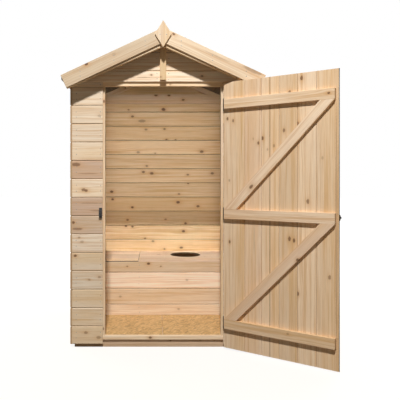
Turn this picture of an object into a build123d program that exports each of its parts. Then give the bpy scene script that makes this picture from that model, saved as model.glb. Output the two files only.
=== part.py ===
from build123d import *

import math
import os

os.makedirs("parts", exist_ok=True)

# Garden outhouse of planed softwood. Millimetres, +Z up. The origin is on the ground at
# the centre of the plan, and the doorway faces -Y.

# Overall sizes, measured over the cladding
WIDTH = 1160.0
DEPTH = 1115.0
CLADDING = 12.0
CLADDING_BOTTOM = 24.0
FRAME = 28.0

# Base
BEARER_HEIGHT = 36.0
BEARER_WIDTH = 45.0
BEARER_INSET = 12.0
BEARER_COUNT = 3
JOIST_HEIGHT = 28.0
JOIST_WIDTH = 28.0
JOIST_COUNT = 4
FLOOR_SHEET = 12.0
FLOOR_JOINT = 1.0
SILL_HEIGHT = 28.0
SILL_THICKNESS = 16.0

# Doorway, between the edges of the cladding and under the head rail
DOORWAY_WIDTH = 754.0
STOP_WIDTH = 14.0
HEAD_HEIGHT = 1638.0
HEAD_STOP_HEIGHT = 25.0
SIDES_ABOVE_HEAD = 52.0

# Roof: the bargeboards are a little steeper than the deck
ROOF_PITCH = 23.5
ROOF_DECK = 11.0
ROOF_FELT = 2.0
EAVES_OVERHANG = 38.0
GABLE_OVERHANG = 88.0
RIDGE_GAP = 2.0
RAKE_DEPTH = 70.0
RAKE_OVERSAIL = 10.0
RAFTER_DEPTH = 40.0
BACK_RAIL_DEPTH = 70.0
BACK_RAIL_RISE = 7.0
BARGE_EXTRA_PITCH = 1.5
BARGE_RISE = 26.0
BARGE_OVERSAIL = 8.0
BARGE_WIDTH = 84.0
BARGE_THICKNESS = 12.0
FINIAL_WIDTH = 102.0
FINIAL_HEIGHT = 165.0
FINIAL_RISE = 40.0
FINIAL_THICKNESS = 12.0
KING_POST_WIDTH = 38.0
KING_POST_THICKNESS = 30.0
KING_POST_LAP = 8.0
SIDE_MIDDLE_RAIL = 850.0

# Bench
BENCH_SETBACK = 562.0
BENCH_TOP = 473.0
BENCH_BOARD = 12.0
LID_EDGE = 171.0
LID_CLEARANCE = 5.0
LID_SEAT_GAP = 0.3
SEAT_HOLE_OFFSET = 185.0
SEAT_HOLE_SETBACK = 179.0
SEAT_HOLE_WIDTH = 228.0
SEAT_HOLE_LENGTH = 296.0

# Door
DOOR_OPEN_ANGLE = 140.0
DOOR_CLEARANCE = 5.0
DOOR_BOTTOM = 12.0
DOOR_HEAD_GAP = 8.0
LEDGE_WIDTH = 60.0
LEDGE_THICKNESS = 20.0
LEDGE_INSET = 14.0
LEDGE_LATCH_INSET = 18.0
LEDGE_FROM_BOTTOM = 150.0
LEDGE_FROM_TOP = 136.0
BRACE_CUT = 86.0
TRIM_LENGTH = 60.0
TRIM_DROP = 14.0

# Tee hinges
HINGE_SIDE_OFFSET = 3.0
HINGE_FACE_OFFSET = 8.0
KNUCKLE_RADIUS = 6.0
KNUCKLE_GAP = 0.5
PIN_RADIUS = 3.0
PIN_CLEARANCE = 0.25
STRAP_THICKNESS = 3.0
STRAP_LENGTH = 300.0
STRAP_ROOT = 36.0
STRAP_TIP = 16.0
PLATE_THICKNESS = 3.0
PLATE_HEIGHT = 100.0
PLATE_WIDTH = 30.0
PLATE_KNUCKLE = 20.0

# Bolt on the door and its keep beside the doorway
BOLT_HEIGHT = 845.0
BOLT_PLATE_LENGTH = 110.0
BOLT_PLATE_HEIGHT = 34.0
BOLT_PLATE_THICKNESS = 2.5
BOLT_RADIUS = 5.0
BOLT_LENGTH = 96.0
BOLT_PROTRUSION = 3.0
BOLT_GUIDE_LENGTH = 16.0
BOLT_GUIDE_WALL = 3.0
BOLT_KNOB_RADIUS = 4.0
BOLT_KNOB_LENGTH = 14.0
KEEP_EDGE_GAP = 4.0
KEEP_WIDTH = 19.0
KEEP_HEIGHT = 62.0
KEEP_PLATE = 3.0
KEEP_BRIDGE = 36.0
KEEP_WALL = 4.0
KEEP_CLEARANCE = 1.5

# Planes and heights that follow from the sizes above
FRONT = -DEPTH / 2
BACK = DEPTH / 2
FRONT_INNER = FRONT + CLADDING
BACK_INNER = BACK - CLADDING
FRONT_FRAME = FRONT_INNER + FRAME
BACK_FRAME = BACK_INNER - FRAME
SIDE = WIDTH / 2
SIDE_INNER = SIDE - CLADDING
SIDE_FRAME = SIDE_INNER - FRAME
JOIST_TOP = BEARER_HEIGHT + JOIST_HEIGHT
FLOOR_TOP = JOIST_TOP + FLOOR_SHEET
FLOOR_FRONT = FRONT_INNER + SILL_THICKNESS
DOORWAY_EDGE = DOORWAY_WIDTH / 2
HEAD_TOP = HEAD_HEIGHT + FRAME
GABLE_BOTTOM = HEAD_HEIGHT + HEAD_STOP_HEIGHT
SIDE_HEIGHT = HEAD_HEIGHT + SIDES_ABOVE_HEAD
BACK_RAIL_BOTTOM = GABLE_BOTTOM + BACK_RAIL_RISE
BACK_RAIL_TOP = BACK_RAIL_BOTTOM + BACK_RAIL_DEPTH

ROOF_SLOPE = math.tan(math.radians(ROOF_PITCH))
ROOF_COS = math.cos(math.radians(ROOF_PITCH))
DECK_UNDERSIDE = SIDE_HEIGHT + ROOF_SLOPE * SIDE
RIDGE = DECK_UNDERSIDE + ROOF_DECK / ROOF_COS
EAVES = SIDE + EAVES_OVERHANG
POST_TOP = DECK_UNDERSIDE - ROOF_SLOPE * SIDE_INNER
BARGE_PITCH = ROOF_PITCH + BARGE_EXTRA_PITCH
BARGE_APEX = RIDGE + BARGE_RISE

BENCH_FRONT = FRONT + BENCH_SETBACK
BENCH_UNDERSIDE = BENCH_TOP - BENCH_BOARD
BENCH_RAIL_BOTTOM = BENCH_UNDERSIDE - FRAME
BENCH_RAIL_FRONT = BENCH_FRONT + CLADDING
BENCH_RAIL_BACK = BENCH_RAIL_FRONT + FRAME
SEAT_EDGE = LID_EDGE - LID_CLEARANCE
CROSS_RAIL = (LID_EDGE + SEAT_EDGE) / 2

# The door is drawn on its own plane: x runs from the hinge axis to the free edge, y is
# up, and the normal points to the inner face
HINGE_X = DOORWAY_EDGE + HINGE_SIDE_OFFSET
HINGE_Y = FRONT - HINGE_FACE_OFFSET
OPENED = math.radians(DOOR_OPEN_ANGLE)
DOOR_PLANE = Plane(
    origin=(HINGE_X, HINGE_Y, 0),
    x_dir=(-math.cos(OPENED), -math.sin(OPENED), 0),
    z_dir=(-math.sin(OPENED), math.cos(OPENED), 0),
)
DOOR_OUTER = HINGE_FACE_OFFSET - DOOR_CLEARANCE
DOOR_INNER = DOOR_OUTER + CLADDING
DOOR_HINGE_EDGE = HINGE_SIDE_OFFSET + DOOR_CLEARANCE
DOOR_FREE_EDGE = HINGE_X + DOORWAY_EDGE - DOOR_CLEARANCE
DOOR_TOP = GABLE_BOTTOM - DOOR_HEAD_GAP
LEDGE_START = DOOR_HINGE_EDGE + LEDGE_INSET
LEDGE_END = DOOR_FREE_EDGE - LEDGE_LATCH_INSET
LEDGE_LOW = DOOR_BOTTOM + LEDGE_FROM_BOTTOM
LEDGE_HIGH = DOOR_TOP - LEDGE_FROM_TOP
LEDGE_CENTRES = (LEDGE_LOW, (LEDGE_LOW + LEDGE_HIGH) / 2, LEDGE_HIGH)

SIDES = (("left", -1), ("right", 1))


def facing(y):
    """Upright plane across the building at y, drawn in x and z, with its normal to -Y."""
    return Plane.XZ.offset(-y)


def spread(side, near, far):
    """Range along X between two distances from the centre line, on one side of it."""
    return tuple(sorted((side * near, side * far)))


def bar(x_range, y_range, z_range):
    """Square-edged timber between the given limits."""
    with BuildSketch(Plane.XY.offset(z_range[0])) as section:
        with Locations((sum(x_range) / 2, sum(y_range) / 2)):
            Rectangle(x_range[1] - x_range[0], y_range[1] - y_range[0])
    extrude(section.sketch, amount=z_range[1] - z_range[0])


def board(points, plane, thickness):
    """Board of one straight-sided outline, extruded along the plane's normal."""
    with BuildSketch(plane) as outline:
        with BuildLine():
            Polyline(*points, close=True)
        make_face()
    extrude(outline.sketch, amount=thickness)


def sloping(side, apex, pitch, depth, near, far, square=False):
    """Corners of a sloping board whose top edge would meet the centre line at the apex.

    The board is cut plumb at both ends, or square at its lower end.
    """
    angle = math.radians(pitch)
    plumb_depth = depth / math.cos(angle)
    top_near = apex - near * math.tan(angle)
    top_far = apex - far * math.tan(angle)
    low_far = (far, top_far - plumb_depth)
    if square:
        low_far = (far - depth * math.sin(angle), top_far - depth * math.cos(angle))
    corners = ((near, top_near), (far, top_far), low_far, (near, top_near - plumb_depth))
    return [(side * x, z) for x, z in corners]


def save(builder, name):
    """Label a finished piece and write it to its own file."""
    builder.part.label = name
    export_step(builder.part, f"parts/{name}.step")


# Base: bearers across, joists from front to back, two floor sheets and the sill

BEARER_HALF = SIDE_INNER - BEARER_INSET
BEARER_SPAN = BACK_INNER - FRONT_INNER - 2 * BEARER_INSET - BEARER_WIDTH
BEARER_PITCH = BEARER_SPAN / (BEARER_COUNT - 1)
with BuildPart() as bearers:
    with BuildSketch():
        with GridLocations(0, BEARER_PITCH, 1, BEARER_COUNT):
            Rectangle(2 * BEARER_HALF, BEARER_WIDTH)
    extrude(amount=BEARER_HEIGHT)
save(bearers, "bearers")

JOIST_PITCH = (2 * BEARER_HALF - JOIST_WIDTH) / (JOIST_COUNT - 1)
with BuildPart() as floor_joists:
    with BuildSketch(Plane.XY.offset(BEARER_HEIGHT)):
        with Locations((0, (FLOOR_FRONT + BACK_INNER) / 2)):
            with GridLocations(JOIST_PITCH, 0, JOIST_COUNT, 1):
                Rectangle(JOIST_WIDTH, BACK_INNER - FLOOR_FRONT)
    extrude(amount=JOIST_HEIGHT)
save(floor_joists, "floor_joists")

with BuildPart() as floor_sheets:
    for _, side in SIDES:
        bar(
            spread(side, FLOOR_JOINT / 2, SIDE_INNER),
            (FLOOR_FRONT, BACK_INNER),
            (JOIST_TOP, FLOOR_TOP),
        )
save(floor_sheets, "floor_sheets")

with BuildPart() as door_sill:
    bar(
        (-SIDE_INNER, SIDE_INNER),
        (FRONT_INNER, FLOOR_FRONT),
        (FLOOR_TOP - SILL_HEIGHT, FLOOR_TOP),
    )
save(door_sill, "door_sill")


# Cladding: the sides cover the ends of the front and back

for word, side in SIDES:
    with BuildPart() as front_cladding:
        bar(
            spread(side, DOORWAY_EDGE, SIDE_INNER),
            (FRONT, FRONT_INNER),
            (CLADDING_BOTTOM, GABLE_BOTTOM),
        )
    save(front_cladding, f"front_cladding_{word}")

    with BuildPart() as side_cladding:
        bar(spread(side, SIDE_INNER, SIDE), (FRONT, BACK), (CLADDING_BOTTOM, SIDE_HEIGHT))
    save(side_cladding, f"side_cladding_{word}")


def gable_outline(bottom):
    """End wall from a level bottom edge up to the underside of the deck."""
    return [
        (-SIDE_INNER, bottom),
        (SIDE_INNER, bottom),
        (SIDE_INNER, POST_TOP),
        (0, DECK_UNDERSIDE),
        (-SIDE_INNER, POST_TOP),
    ]


with BuildPart() as front_gable_cladding:
    board(gable_outline(GABLE_BOTTOM), facing(FRONT_INNER), CLADDING)
save(front_gable_cladding, "front_gable_cladding")

with BuildPart() as back_cladding:
    board(gable_outline(CLADDING_BOTTOM), facing(BACK), CLADDING)
save(back_cladding, "back_cladding")


# Wall framing, inside the cladding and standing on the floor

with BuildPart() as corner_posts:
    with BuildSketch(Plane.XY.offset(FLOOR_TOP)):
        with GridLocations(2 * SIDE_INNER - FRAME, BACK_INNER - FRONT_INNER - FRAME, 2, 2):
            Rectangle(FRAME, FRAME)
    extrude(amount=POST_TOP - FLOOR_TOP)
save(corner_posts, "corner_posts")

DOOR_POST_NEAR = DOORWAY_EDGE - STOP_WIDTH
DOOR_POST_FAR = DOOR_POST_NEAR + FRAME
for word, side in SIDES:
    with BuildPart() as door_post:
        bar(
            spread(side, DOOR_POST_NEAR, DOOR_POST_FAR),
            (FRONT_INNER, FRONT_FRAME),
            (FLOOR_TOP, HEAD_HEIGHT),
        )
    save(door_post, f"door_post_{word}")

with BuildPart() as door_head_rail:
    bar((-SIDE_FRAME, SIDE_FRAME), (FRONT_INNER, FRONT_FRAME), (HEAD_HEIGHT, HEAD_TOP))
save(door_head_rail, "door_head_rail")

BOTTOM_RAIL_HEIGHTS = (FLOOR_TOP, FLOOR_TOP + FRAME)
with BuildPart() as bottom_rails:
    for _, side in SIDES:
        front_span = spread(side, DOOR_POST_FAR, SIDE_FRAME)
        bar(front_span, (FRONT_INNER, FRONT_FRAME), BOTTOM_RAIL_HEIGHTS)
    bar((-SIDE_FRAME, SIDE_FRAME), (BACK_FRAME, BACK_INNER), BOTTOM_RAIL_HEIGHTS)
save(bottom_rails, "bottom_rails")

SIDE_RAIL_BOTTOMS = (FLOOR_TOP, SIDE_MIDDLE_RAIL, POST_TOP - FRAME)
for word, side in SIDES:
    with BuildPart() as side_rails:
        for bottom in SIDE_RAIL_BOTTOMS:
            bar(
                spread(side, SIDE_FRAME, SIDE_INNER),
                (FRONT_FRAME, BACK_FRAME),
                (bottom, bottom + FRAME),
            )
    save(side_rails, f"side_rails_{word}")

# The rail on the back wall is cut to the slope of the deck at its ends
with BuildPart() as back_head_rail:
    with BuildSketch(facing(BACK_INNER)):
        with BuildLine():
            Polyline(*gable_outline(BACK_RAIL_BOTTOM), close=True)
        make_face()
        with Locations((0, BACK_RAIL_BOTTOM)):
            Rectangle(
                2 * SIDE_FRAME,
                BACK_RAIL_DEPTH,
                align=(Align.CENTER, Align.MIN),
                mode=Mode.INTERSECT,
            )
    extrude(amount=FRAME)
save(back_head_rail, "back_head_rail")

# The rafters inside the gables are cut level where they stand on the rails
with BuildPart() as gable_rafters:
    for back_face, rail_top in ((FRONT_FRAME, HEAD_TOP), (BACK_INNER, BACK_RAIL_TOP)):
        with BuildSketch(facing(back_face)):
            for _, side in SIDES:
                with BuildLine():
                    rafter = sloping(
                        side, DECK_UNDERSIDE, ROOF_PITCH, RAFTER_DEPTH, RIDGE_GAP / 2, SIDE_FRAME
                    )
                    Polyline(*rafter, close=True)
                make_face()
            with Locations((0, rail_top)):
                Rectangle(WIDTH, rail_top, align=(Align.CENTER, Align.MAX), mode=Mode.SUBTRACT)
        extrude(amount=FRAME)
save(gable_rafters, "gable_rafters")

# The king post stands in front of the gable, up to the deck
KING_POST_HALF = KING_POST_WIDTH / 2
with BuildPart() as king_post:
    bar(
        (-KING_POST_HALF, KING_POST_HALF),
        (FRONT - KING_POST_THICKNESS, FRONT),
        (GABLE_BOTTOM + KING_POST_LAP, DECK_UNDERSIDE - ROOF_SLOPE * KING_POST_HALF),
    )
save(king_post, "king_post")


# Roof: deck and felt on each slope, purlins inside, boards along each rake

DECK_FRONT = FRONT - GABLE_OVERHANG
DECK_BACK = BACK + GABLE_OVERHANG
PURLIN_STARTS = (RIDGE_GAP / 2, (SIDE_FRAME - FRAME) / 2)
for word, side in SIDES:
    with BuildPart() as roof_deck:
        board(
            sloping(side, RIDGE, ROOF_PITCH, ROOF_DECK, 0, EAVES, square=True),
            facing(DECK_BACK),
            DECK_BACK - DECK_FRONT,
        )
    save(roof_deck, f"roof_deck_{word}")

    with BuildPart() as roof_felt:
        board(
            sloping(
                side, RIDGE + ROOF_FELT / ROOF_COS, ROOF_PITCH, ROOF_FELT, 0, EAVES, square=True
            ),
            facing(DECK_BACK),
            DECK_BACK - DECK_FRONT,
        )
    save(roof_felt, f"roof_felt_{word}")

    with BuildPart() as roof_purlins:
        for start in PURLIN_STARTS:
            board(
                sloping(side, DECK_UNDERSIDE, ROOF_PITCH, FRAME, start, start + FRAME),
                facing(BACK_FRAME),
                BACK_FRAME - FRONT_FRAME,
            )
    save(roof_purlins, f"roof_purlins_{word}")

# Left and right boards meet plumb at the ridge behind the finials, a saw cut apart
RAKE_END = SIDE + RAKE_OVERSAIL
with BuildPart() as rake_boards:
    for back_face in (DECK_FRONT + FRAME, DECK_BACK):
        for _, side in SIDES:
            rake = sloping(side, DECK_UNDERSIDE, ROOF_PITCH, RAKE_DEPTH, RIDGE_GAP / 2, RAKE_END)
            board(rake, facing(back_face), FRAME)
save(rake_boards, "rake_boards")

BARGE_END = EAVES + BARGE_OVERSAIL
for place, back_face in (("front", DECK_FRONT), ("back", DECK_BACK + BARGE_THICKNESS)):
    with BuildPart() as bargeboards:
        for _, side in SIDES:
            barge = sloping(
                side, BARGE_APEX, BARGE_PITCH, BARGE_WIDTH, RIDGE_GAP / 2, BARGE_END, square=True
            )
            board(barge, facing(back_face), BARGE_THICKNESS)
    save(bargeboards, f"bargeboards_{place}")

FINIAL_TOP = BARGE_APEX + FINIAL_RISE
FINIAL_CENTRE = FINIAL_TOP - FINIAL_HEIGHT / 2
FINIAL_BACKS = (DECK_FRONT - BARGE_THICKNESS, DECK_BACK + BARGE_THICKNESS + FINIAL_THICKNESS)
with BuildPart() as finials:
    for back_face in FINIAL_BACKS:
        diamond = [
            (0, FINIAL_TOP - FINIAL_HEIGHT),
            (FINIAL_WIDTH / 2, FINIAL_CENTRE),
            (0, FINIAL_TOP),
            (-FINIAL_WIDTH / 2, FINIAL_CENTRE),
        ]
        board(diamond, facing(back_face), FINIAL_THICKNESS)
save(finials, "finials")


# Bench: a boarded front, a seat with an oval hole, and a loose lid on the left

with BuildPart() as bench_front:
    notched_front = [
        (-SIDE_FRAME, FLOOR_TOP),
        (SIDE_FRAME, FLOOR_TOP),
        (SIDE_FRAME, FLOOR_TOP + FRAME),
        (SIDE_INNER, FLOOR_TOP + FRAME),
        (SIDE_INNER, BENCH_UNDERSIDE),
        (-SIDE_INNER, BENCH_UNDERSIDE),
        (-SIDE_INNER, FLOOR_TOP + FRAME),
        (-SIDE_FRAME, FLOOR_TOP + FRAME),
    ]
    board(notched_front, facing(BENCH_RAIL_FRONT), CLADDING)
save(bench_front, "bench_front")

BENCH_RAIL_HEIGHTS = (BENCH_RAIL_BOTTOM, BENCH_UNDERSIDE)
with BuildPart() as bench_rails:
    bar((-SIDE_FRAME, SIDE_FRAME), (BENCH_RAIL_FRONT, BENCH_RAIL_BACK), BENCH_RAIL_HEIGHTS)
    bar((-SIDE_FRAME, SIDE_FRAME), (BACK_FRAME, BACK_INNER), BENCH_RAIL_HEIGHTS)
save(bench_rails, "bench_rails")

with BuildPart() as bench_side_cleats:
    for _, side in SIDES:
        bar(
            spread(side, SIDE_FRAME, SIDE_INNER),
            (BENCH_RAIL_FRONT, BACK_FRAME),
            BENCH_RAIL_HEIGHTS,
        )
save(bench_side_cleats, "bench_side_cleats")

CROSS_RAIL_SPAN = (-CROSS_RAIL - FRAME / 2, -CROSS_RAIL + FRAME / 2)
with BuildPart() as bench_cross_rail:
    bar(CROSS_RAIL_SPAN, (BENCH_RAIL_BACK, BACK_FRAME), BENCH_RAIL_HEIGHTS)
save(bench_cross_rail, "bench_cross_rail")

with BuildPart() as bench_uprights:
    bar(CROSS_RAIL_SPAN, (BENCH_RAIL_FRONT, BENCH_RAIL_BACK), (FLOOR_TOP, BENCH_RAIL_BOTTOM))
    bar(CROSS_RAIL_SPAN, (BACK_FRAME, BACK_INNER), (FLOOR_TOP + FRAME, BENCH_RAIL_BOTTOM))
save(bench_uprights, "bench_uprights")

with BuildPart() as bench_seat:
    with BuildSketch(Plane.XY.offset(BENCH_UNDERSIDE)):
        with Locations(((SIDE_INNER - SEAT_EDGE) / 2, (BENCH_FRONT + BACK_INNER) / 2)):
            Rectangle(SIDE_INNER + SEAT_EDGE, BACK_INNER - BENCH_FRONT)
        with Locations((SIDE_INNER, BACK_INNER)):
            Rectangle(FRAME, FRAME, align=(Align.MAX, Align.MAX), mode=Mode.SUBTRACT)
        hole_centre_y = BENCH_FRONT + SEAT_HOLE_SETBACK + SEAT_HOLE_LENGTH / 2
        with Locations((SEAT_HOLE_OFFSET, hole_centre_y)):
            Ellipse(SEAT_HOLE_WIDTH / 2, SEAT_HOLE_LENGTH / 2, mode=Mode.SUBTRACT)
    extrude(amount=BENCH_BOARD)
save(bench_seat, "bench_seat")

LID_OUTER = SIDE_INNER - LID_CLEARANCE
LID_BACK = BACK_INNER - LID_CLEARANCE
with BuildPart() as bench_lid:
    with BuildSketch(Plane.XY.offset(BENCH_UNDERSIDE + LID_SEAT_GAP)):
        with Locations((-(LID_OUTER + LID_EDGE) / 2, (BENCH_FRONT + LID_BACK) / 2)):
            Rectangle(LID_OUTER - LID_EDGE, LID_BACK - BENCH_FRONT)
        with Locations((-LID_OUTER, LID_BACK)):
            Rectangle(FRAME, FRAME, align=(Align.MIN, Align.MAX), mode=Mode.SUBTRACT)
    extrude(amount=BENCH_BOARD)
save(bench_lid, "bench_lid")


# Door: boards with a trimmed top corner, three ledges and two braces, shown standing open

with BuildPart() as door_boards:
    trimmed_door = [
        (DOOR_HINGE_EDGE, DOOR_BOTTOM),
        (DOOR_FREE_EDGE, DOOR_BOTTOM),
        (DOOR_FREE_EDGE, DOOR_TOP),
        (DOOR_HINGE_EDGE + TRIM_LENGTH, DOOR_TOP),
        (DOOR_HINGE_EDGE, DOOR_TOP - TRIM_DROP),
    ]
    board(trimmed_door, DOOR_PLANE.offset(DOOR_OUTER), CLADDING)
save(door_boards, "door_boards")

LEDGE_HALF = LEDGE_WIDTH / 2
with BuildPart() as door_ledges:
    with BuildSketch(DOOR_PLANE.offset(DOOR_INNER)):
        for centre in LEDGE_CENTRES:
            with Locations(((LEDGE_START + LEDGE_END) / 2, centre)):
                Rectangle(LEDGE_END - LEDGE_START, LEDGE_WIDTH)
    extrude(amount=LEDGE_THICKNESS)
save(door_ledges, "door_ledges")

# Each brace rises from the hinge side of one ledge to the free side of the next
for place, low, high in (("lower", *LEDGE_CENTRES[:2]), ("upper", *LEDGE_CENTRES[1:])):
    with BuildPart() as door_brace:
        brace = [
            (LEDGE_START, low + LEDGE_HALF),
            (LEDGE_START + BRACE_CUT, low + LEDGE_HALF),
            (LEDGE_END, high - LEDGE_HALF),
            (LEDGE_END - BRACE_CUT, high - LEDGE_HALF),
        ]
        board(brace, DOOR_PLANE.offset(DOOR_INNER), LEDGE_THICKNESS)
    save(door_brace, f"door_brace_{place}")


# Tee hinges: the strap's knuckle turns on a pin between the plate's two knuckles

STRAP_HALF = STRAP_ROOT / 2
with BuildPart() as hinge_straps:
    for centre in LEDGE_CENTRES:
        strap = [
            (0, centre - STRAP_HALF),
            (STRAP_LENGTH, centre - STRAP_TIP / 2),
            (STRAP_LENGTH, centre + STRAP_TIP / 2),
            (0, centre + STRAP_HALF),
        ]
        board(strap, DOOR_PLANE, STRAP_THICKNESS)
        with BuildSketch(Plane.XY.offset(centre - STRAP_HALF)) as knuckle:
            with Locations((HINGE_X, HINGE_Y)):
                Circle(KNUCKLE_RADIUS)
        extrude(knuckle.sketch, amount=STRAP_ROOT)
        with BuildSketch(Plane.XY.offset(centre - STRAP_HALF)) as bore:
            with Locations((HINGE_X, HINGE_Y)):
                Circle(PIN_RADIUS + PIN_CLEARANCE)
        extrude(bore.sketch, amount=STRAP_ROOT, mode=Mode.SUBTRACT)
save(hinge_straps, "hinge_straps")

PLATE_EDGE = HINGE_X + KNUCKLE_RADIUS + KNUCKLE_GAP
KNUCKLE_START = STRAP_HALF + KNUCKLE_GAP
KNUCKLE_END = KNUCKLE_START + PLATE_KNUCKLE
with BuildPart() as hinge_plates:
    for centre in LEDGE_CENTRES:
        bar(
            (PLATE_EDGE, PLATE_EDGE + PLATE_WIDTH),
            (FRONT - PLATE_THICKNESS, FRONT),
            (centre - PLATE_HEIGHT / 2, centre + PLATE_HEIGHT / 2),
        )
        for bottom in (centre - KNUCKLE_END, centre + KNUCKLE_START):
            bar(
                (HINGE_X, PLATE_EDGE),
                (FRONT - PLATE_THICKNESS, FRONT),
                (bottom, bottom + PLATE_KNUCKLE),
            )
            with BuildSketch(Plane.XY.offset(bottom)) as knuckle:
                with Locations((HINGE_X, HINGE_Y)):
                    Circle(KNUCKLE_RADIUS)
            extrude(knuckle.sketch, amount=PLATE_KNUCKLE)
        with BuildSketch(Plane.XY.offset(centre - KNUCKLE_END)) as pin:
            with Locations((HINGE_X, HINGE_Y)):
                Circle(PIN_RADIUS)
        extrude(pin.sketch, amount=2 * KNUCKLE_END)
save(hinge_plates, "hinge_plates")


# Bolt, drawn back on the door's outer face, and the keep that it shoots into

BOLT_AXIS = DOOR_OUTER - BOLT_PLATE_THICKNESS - BOLT_RADIUS
BOLT_END = DOOR_FREE_EDGE + BOLT_PROTRUSION
BOLT_START = BOLT_END - BOLT_LENGTH
GUIDE_HALF = BOLT_RADIUS + BOLT_GUIDE_WALL
PLATE_START = DOOR_FREE_EDGE - BOLT_PLATE_LENGTH
with BuildPart() as latch_bolt:
    with BuildSketch(DOOR_PLANE.offset(DOOR_OUTER - BOLT_PLATE_THICKNESS)):
        with Locations((DOOR_FREE_EDGE - BOLT_PLATE_LENGTH / 2, BOLT_HEIGHT)):
            Rectangle(BOLT_PLATE_LENGTH, BOLT_PLATE_HEIGHT)
    extrude(amount=BOLT_PLATE_THICKNESS)
    with BuildSketch(DOOR_PLANE.offset(BOLT_AXIS - GUIDE_HALF)):
        for guide_end in (PLATE_START + BOLT_GUIDE_LENGTH, DOOR_FREE_EDGE):
            with Locations((guide_end - BOLT_GUIDE_LENGTH / 2, BOLT_HEIGHT)):
                Rectangle(BOLT_GUIDE_LENGTH, 2 * GUIDE_HALF)
    extrude(amount=GUIDE_HALF + BOLT_RADIUS + BOLT_PLATE_THICKNESS / 2)
    rod_start = DOOR_PLANE.from_local_coords((BOLT_START, BOLT_HEIGHT, BOLT_AXIS))
    with BuildSketch(Plane(origin=rod_start, z_dir=DOOR_PLANE.x_dir)):
        Circle(BOLT_RADIUS)
    extrude(amount=BOLT_LENGTH)
    with BuildSketch(DOOR_PLANE.offset(BOLT_AXIS)):
        with Locations(((BOLT_START + BOLT_END) / 2, BOLT_HEIGHT)):
            Circle(BOLT_KNOB_RADIUS)
    extrude(amount=-BOLT_RADIUS - BOLT_KNOB_LENGTH)
save(latch_bolt, "latch_bolt")

KEEP_FAR = -DOORWAY_EDGE - KEEP_EDGE_GAP
KEEP_SPAN = (KEEP_FAR - KEEP_WIDTH, KEEP_FAR)
BOLT_LINE = HINGE_Y + BOLT_AXIS
SLOT_HALF = BOLT_RADIUS + KEEP_CLEARANCE
with BuildPart() as latch_keep:
    bar(
        KEEP_SPAN,
        (FRONT - KEEP_PLATE, FRONT),
        (BOLT_HEIGHT - KEEP_HEIGHT / 2, BOLT_HEIGHT + KEEP_HEIGHT / 2),
    )
    bar(
        KEEP_SPAN,
        (BOLT_LINE - SLOT_HALF - KEEP_WALL, FRONT),
        (BOLT_HEIGHT - KEEP_BRIDGE / 2, BOLT_HEIGHT + KEEP_BRIDGE / 2),
    )
    slot_plane = Plane(origin=(KEEP_FAR, BOLT_LINE, BOLT_HEIGHT), z_dir=(-1, 0, 0))
    with BuildSketch(slot_plane):
        Rectangle(2 * SLOT_HALF, 2 * SLOT_HALF)
    extrude(amount=KEEP_WIDTH, mode=Mode.SUBTRACT)
save(latch_keep, "latch_keep")
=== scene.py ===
"""Looks of a wooden outhouse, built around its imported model.

Every length is in metres in the model's own frame: +Z is up, the origin is on the ground
at the centre of the plan, and the doorway faces -Y. Angles are in degrees where a name
says so, and otherwise in radians.
"""

from __future__ import annotations

import logging
import math
import random
from collections.abc import Callable, Iterable, Sequence
from dataclasses import dataclass, field
from enum import Enum, IntEnum

import bmesh
import bpy
from mathutils import Matrix, Vector

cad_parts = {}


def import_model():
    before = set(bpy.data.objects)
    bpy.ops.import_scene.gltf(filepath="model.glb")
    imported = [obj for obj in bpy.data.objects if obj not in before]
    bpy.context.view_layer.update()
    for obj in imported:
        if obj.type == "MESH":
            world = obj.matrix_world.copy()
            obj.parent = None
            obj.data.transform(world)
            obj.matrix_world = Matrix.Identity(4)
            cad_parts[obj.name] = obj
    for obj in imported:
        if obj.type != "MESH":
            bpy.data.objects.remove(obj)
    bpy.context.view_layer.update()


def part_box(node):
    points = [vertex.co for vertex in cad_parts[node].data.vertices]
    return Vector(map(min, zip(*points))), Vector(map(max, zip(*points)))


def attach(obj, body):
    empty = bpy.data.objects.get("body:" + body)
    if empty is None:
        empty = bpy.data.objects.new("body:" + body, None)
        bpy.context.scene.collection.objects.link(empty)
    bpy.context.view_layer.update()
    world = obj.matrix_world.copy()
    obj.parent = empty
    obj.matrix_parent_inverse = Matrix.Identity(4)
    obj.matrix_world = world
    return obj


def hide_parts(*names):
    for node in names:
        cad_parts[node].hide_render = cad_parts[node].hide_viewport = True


LOG = logging.getLogger("outhouse")

Colour = tuple[float, float, float]
Socket = bpy.types.NodeSocket
Feed = Socket | float | tuple[float, ...]
Mesh = bmesh.types.BMesh
Edge = bmesh.types.BMEdge
Marks = tuple[tuple[float, ...], ...]

X = Vector((1.0, 0.0, 0.0))
Y = Vector((0.0, 1.0, 0.0))
Z = Vector((0.0, 0.0, 1.0))

# Vertices nearer than WELD are one, and faces that turn less than FLAT_ANGLE are flat. PARALLEL,
# FACING and END_FACING are least cosines, and SIDEWAYS is a largest one.
WELD = 2e-6
FLAT_ANGLE = 0.005
PARALLEL = 0.99
FACING = 0.9
END_FACING = 0.8
SIDEWAYS = 0.2
TIMBER_TURN_DEGREES = 12.0
ROUND_STEPS = 24

# Sockets of the colour mix node: its factor and colours, and its result.
MIX_INPUTS = (0, 6, 7)
MIX_OUTPUT = 2
SPECULAR = 0.4

# How boards differ by chance, and how far a nail strays from its place.
NARROWEST_BOARD = 0.006
LIGHT_SPREAD = 0.04
HUE_SPREAD = 0.18
STRAY_ALONG = 0.002
STRAY_ACROSS = 0.003
KNOTS_PER_METRE = (1.2, 3.6)
KNOT_SIZES = (0.003, 0.004, 0.006, 0.009)
KNOT_STRENGTHS = (0.3, 0.95)
KNOT_STRETCH = (1.1, 1.7)
NO_KNOT = (60.0, 60.0, 0.0)
KNOT_SLOTS = 4
KNOT_NAMES = tuple(f"knot{slot}" for slot in range(KNOT_SLOTS))


# Node graphs


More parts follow.
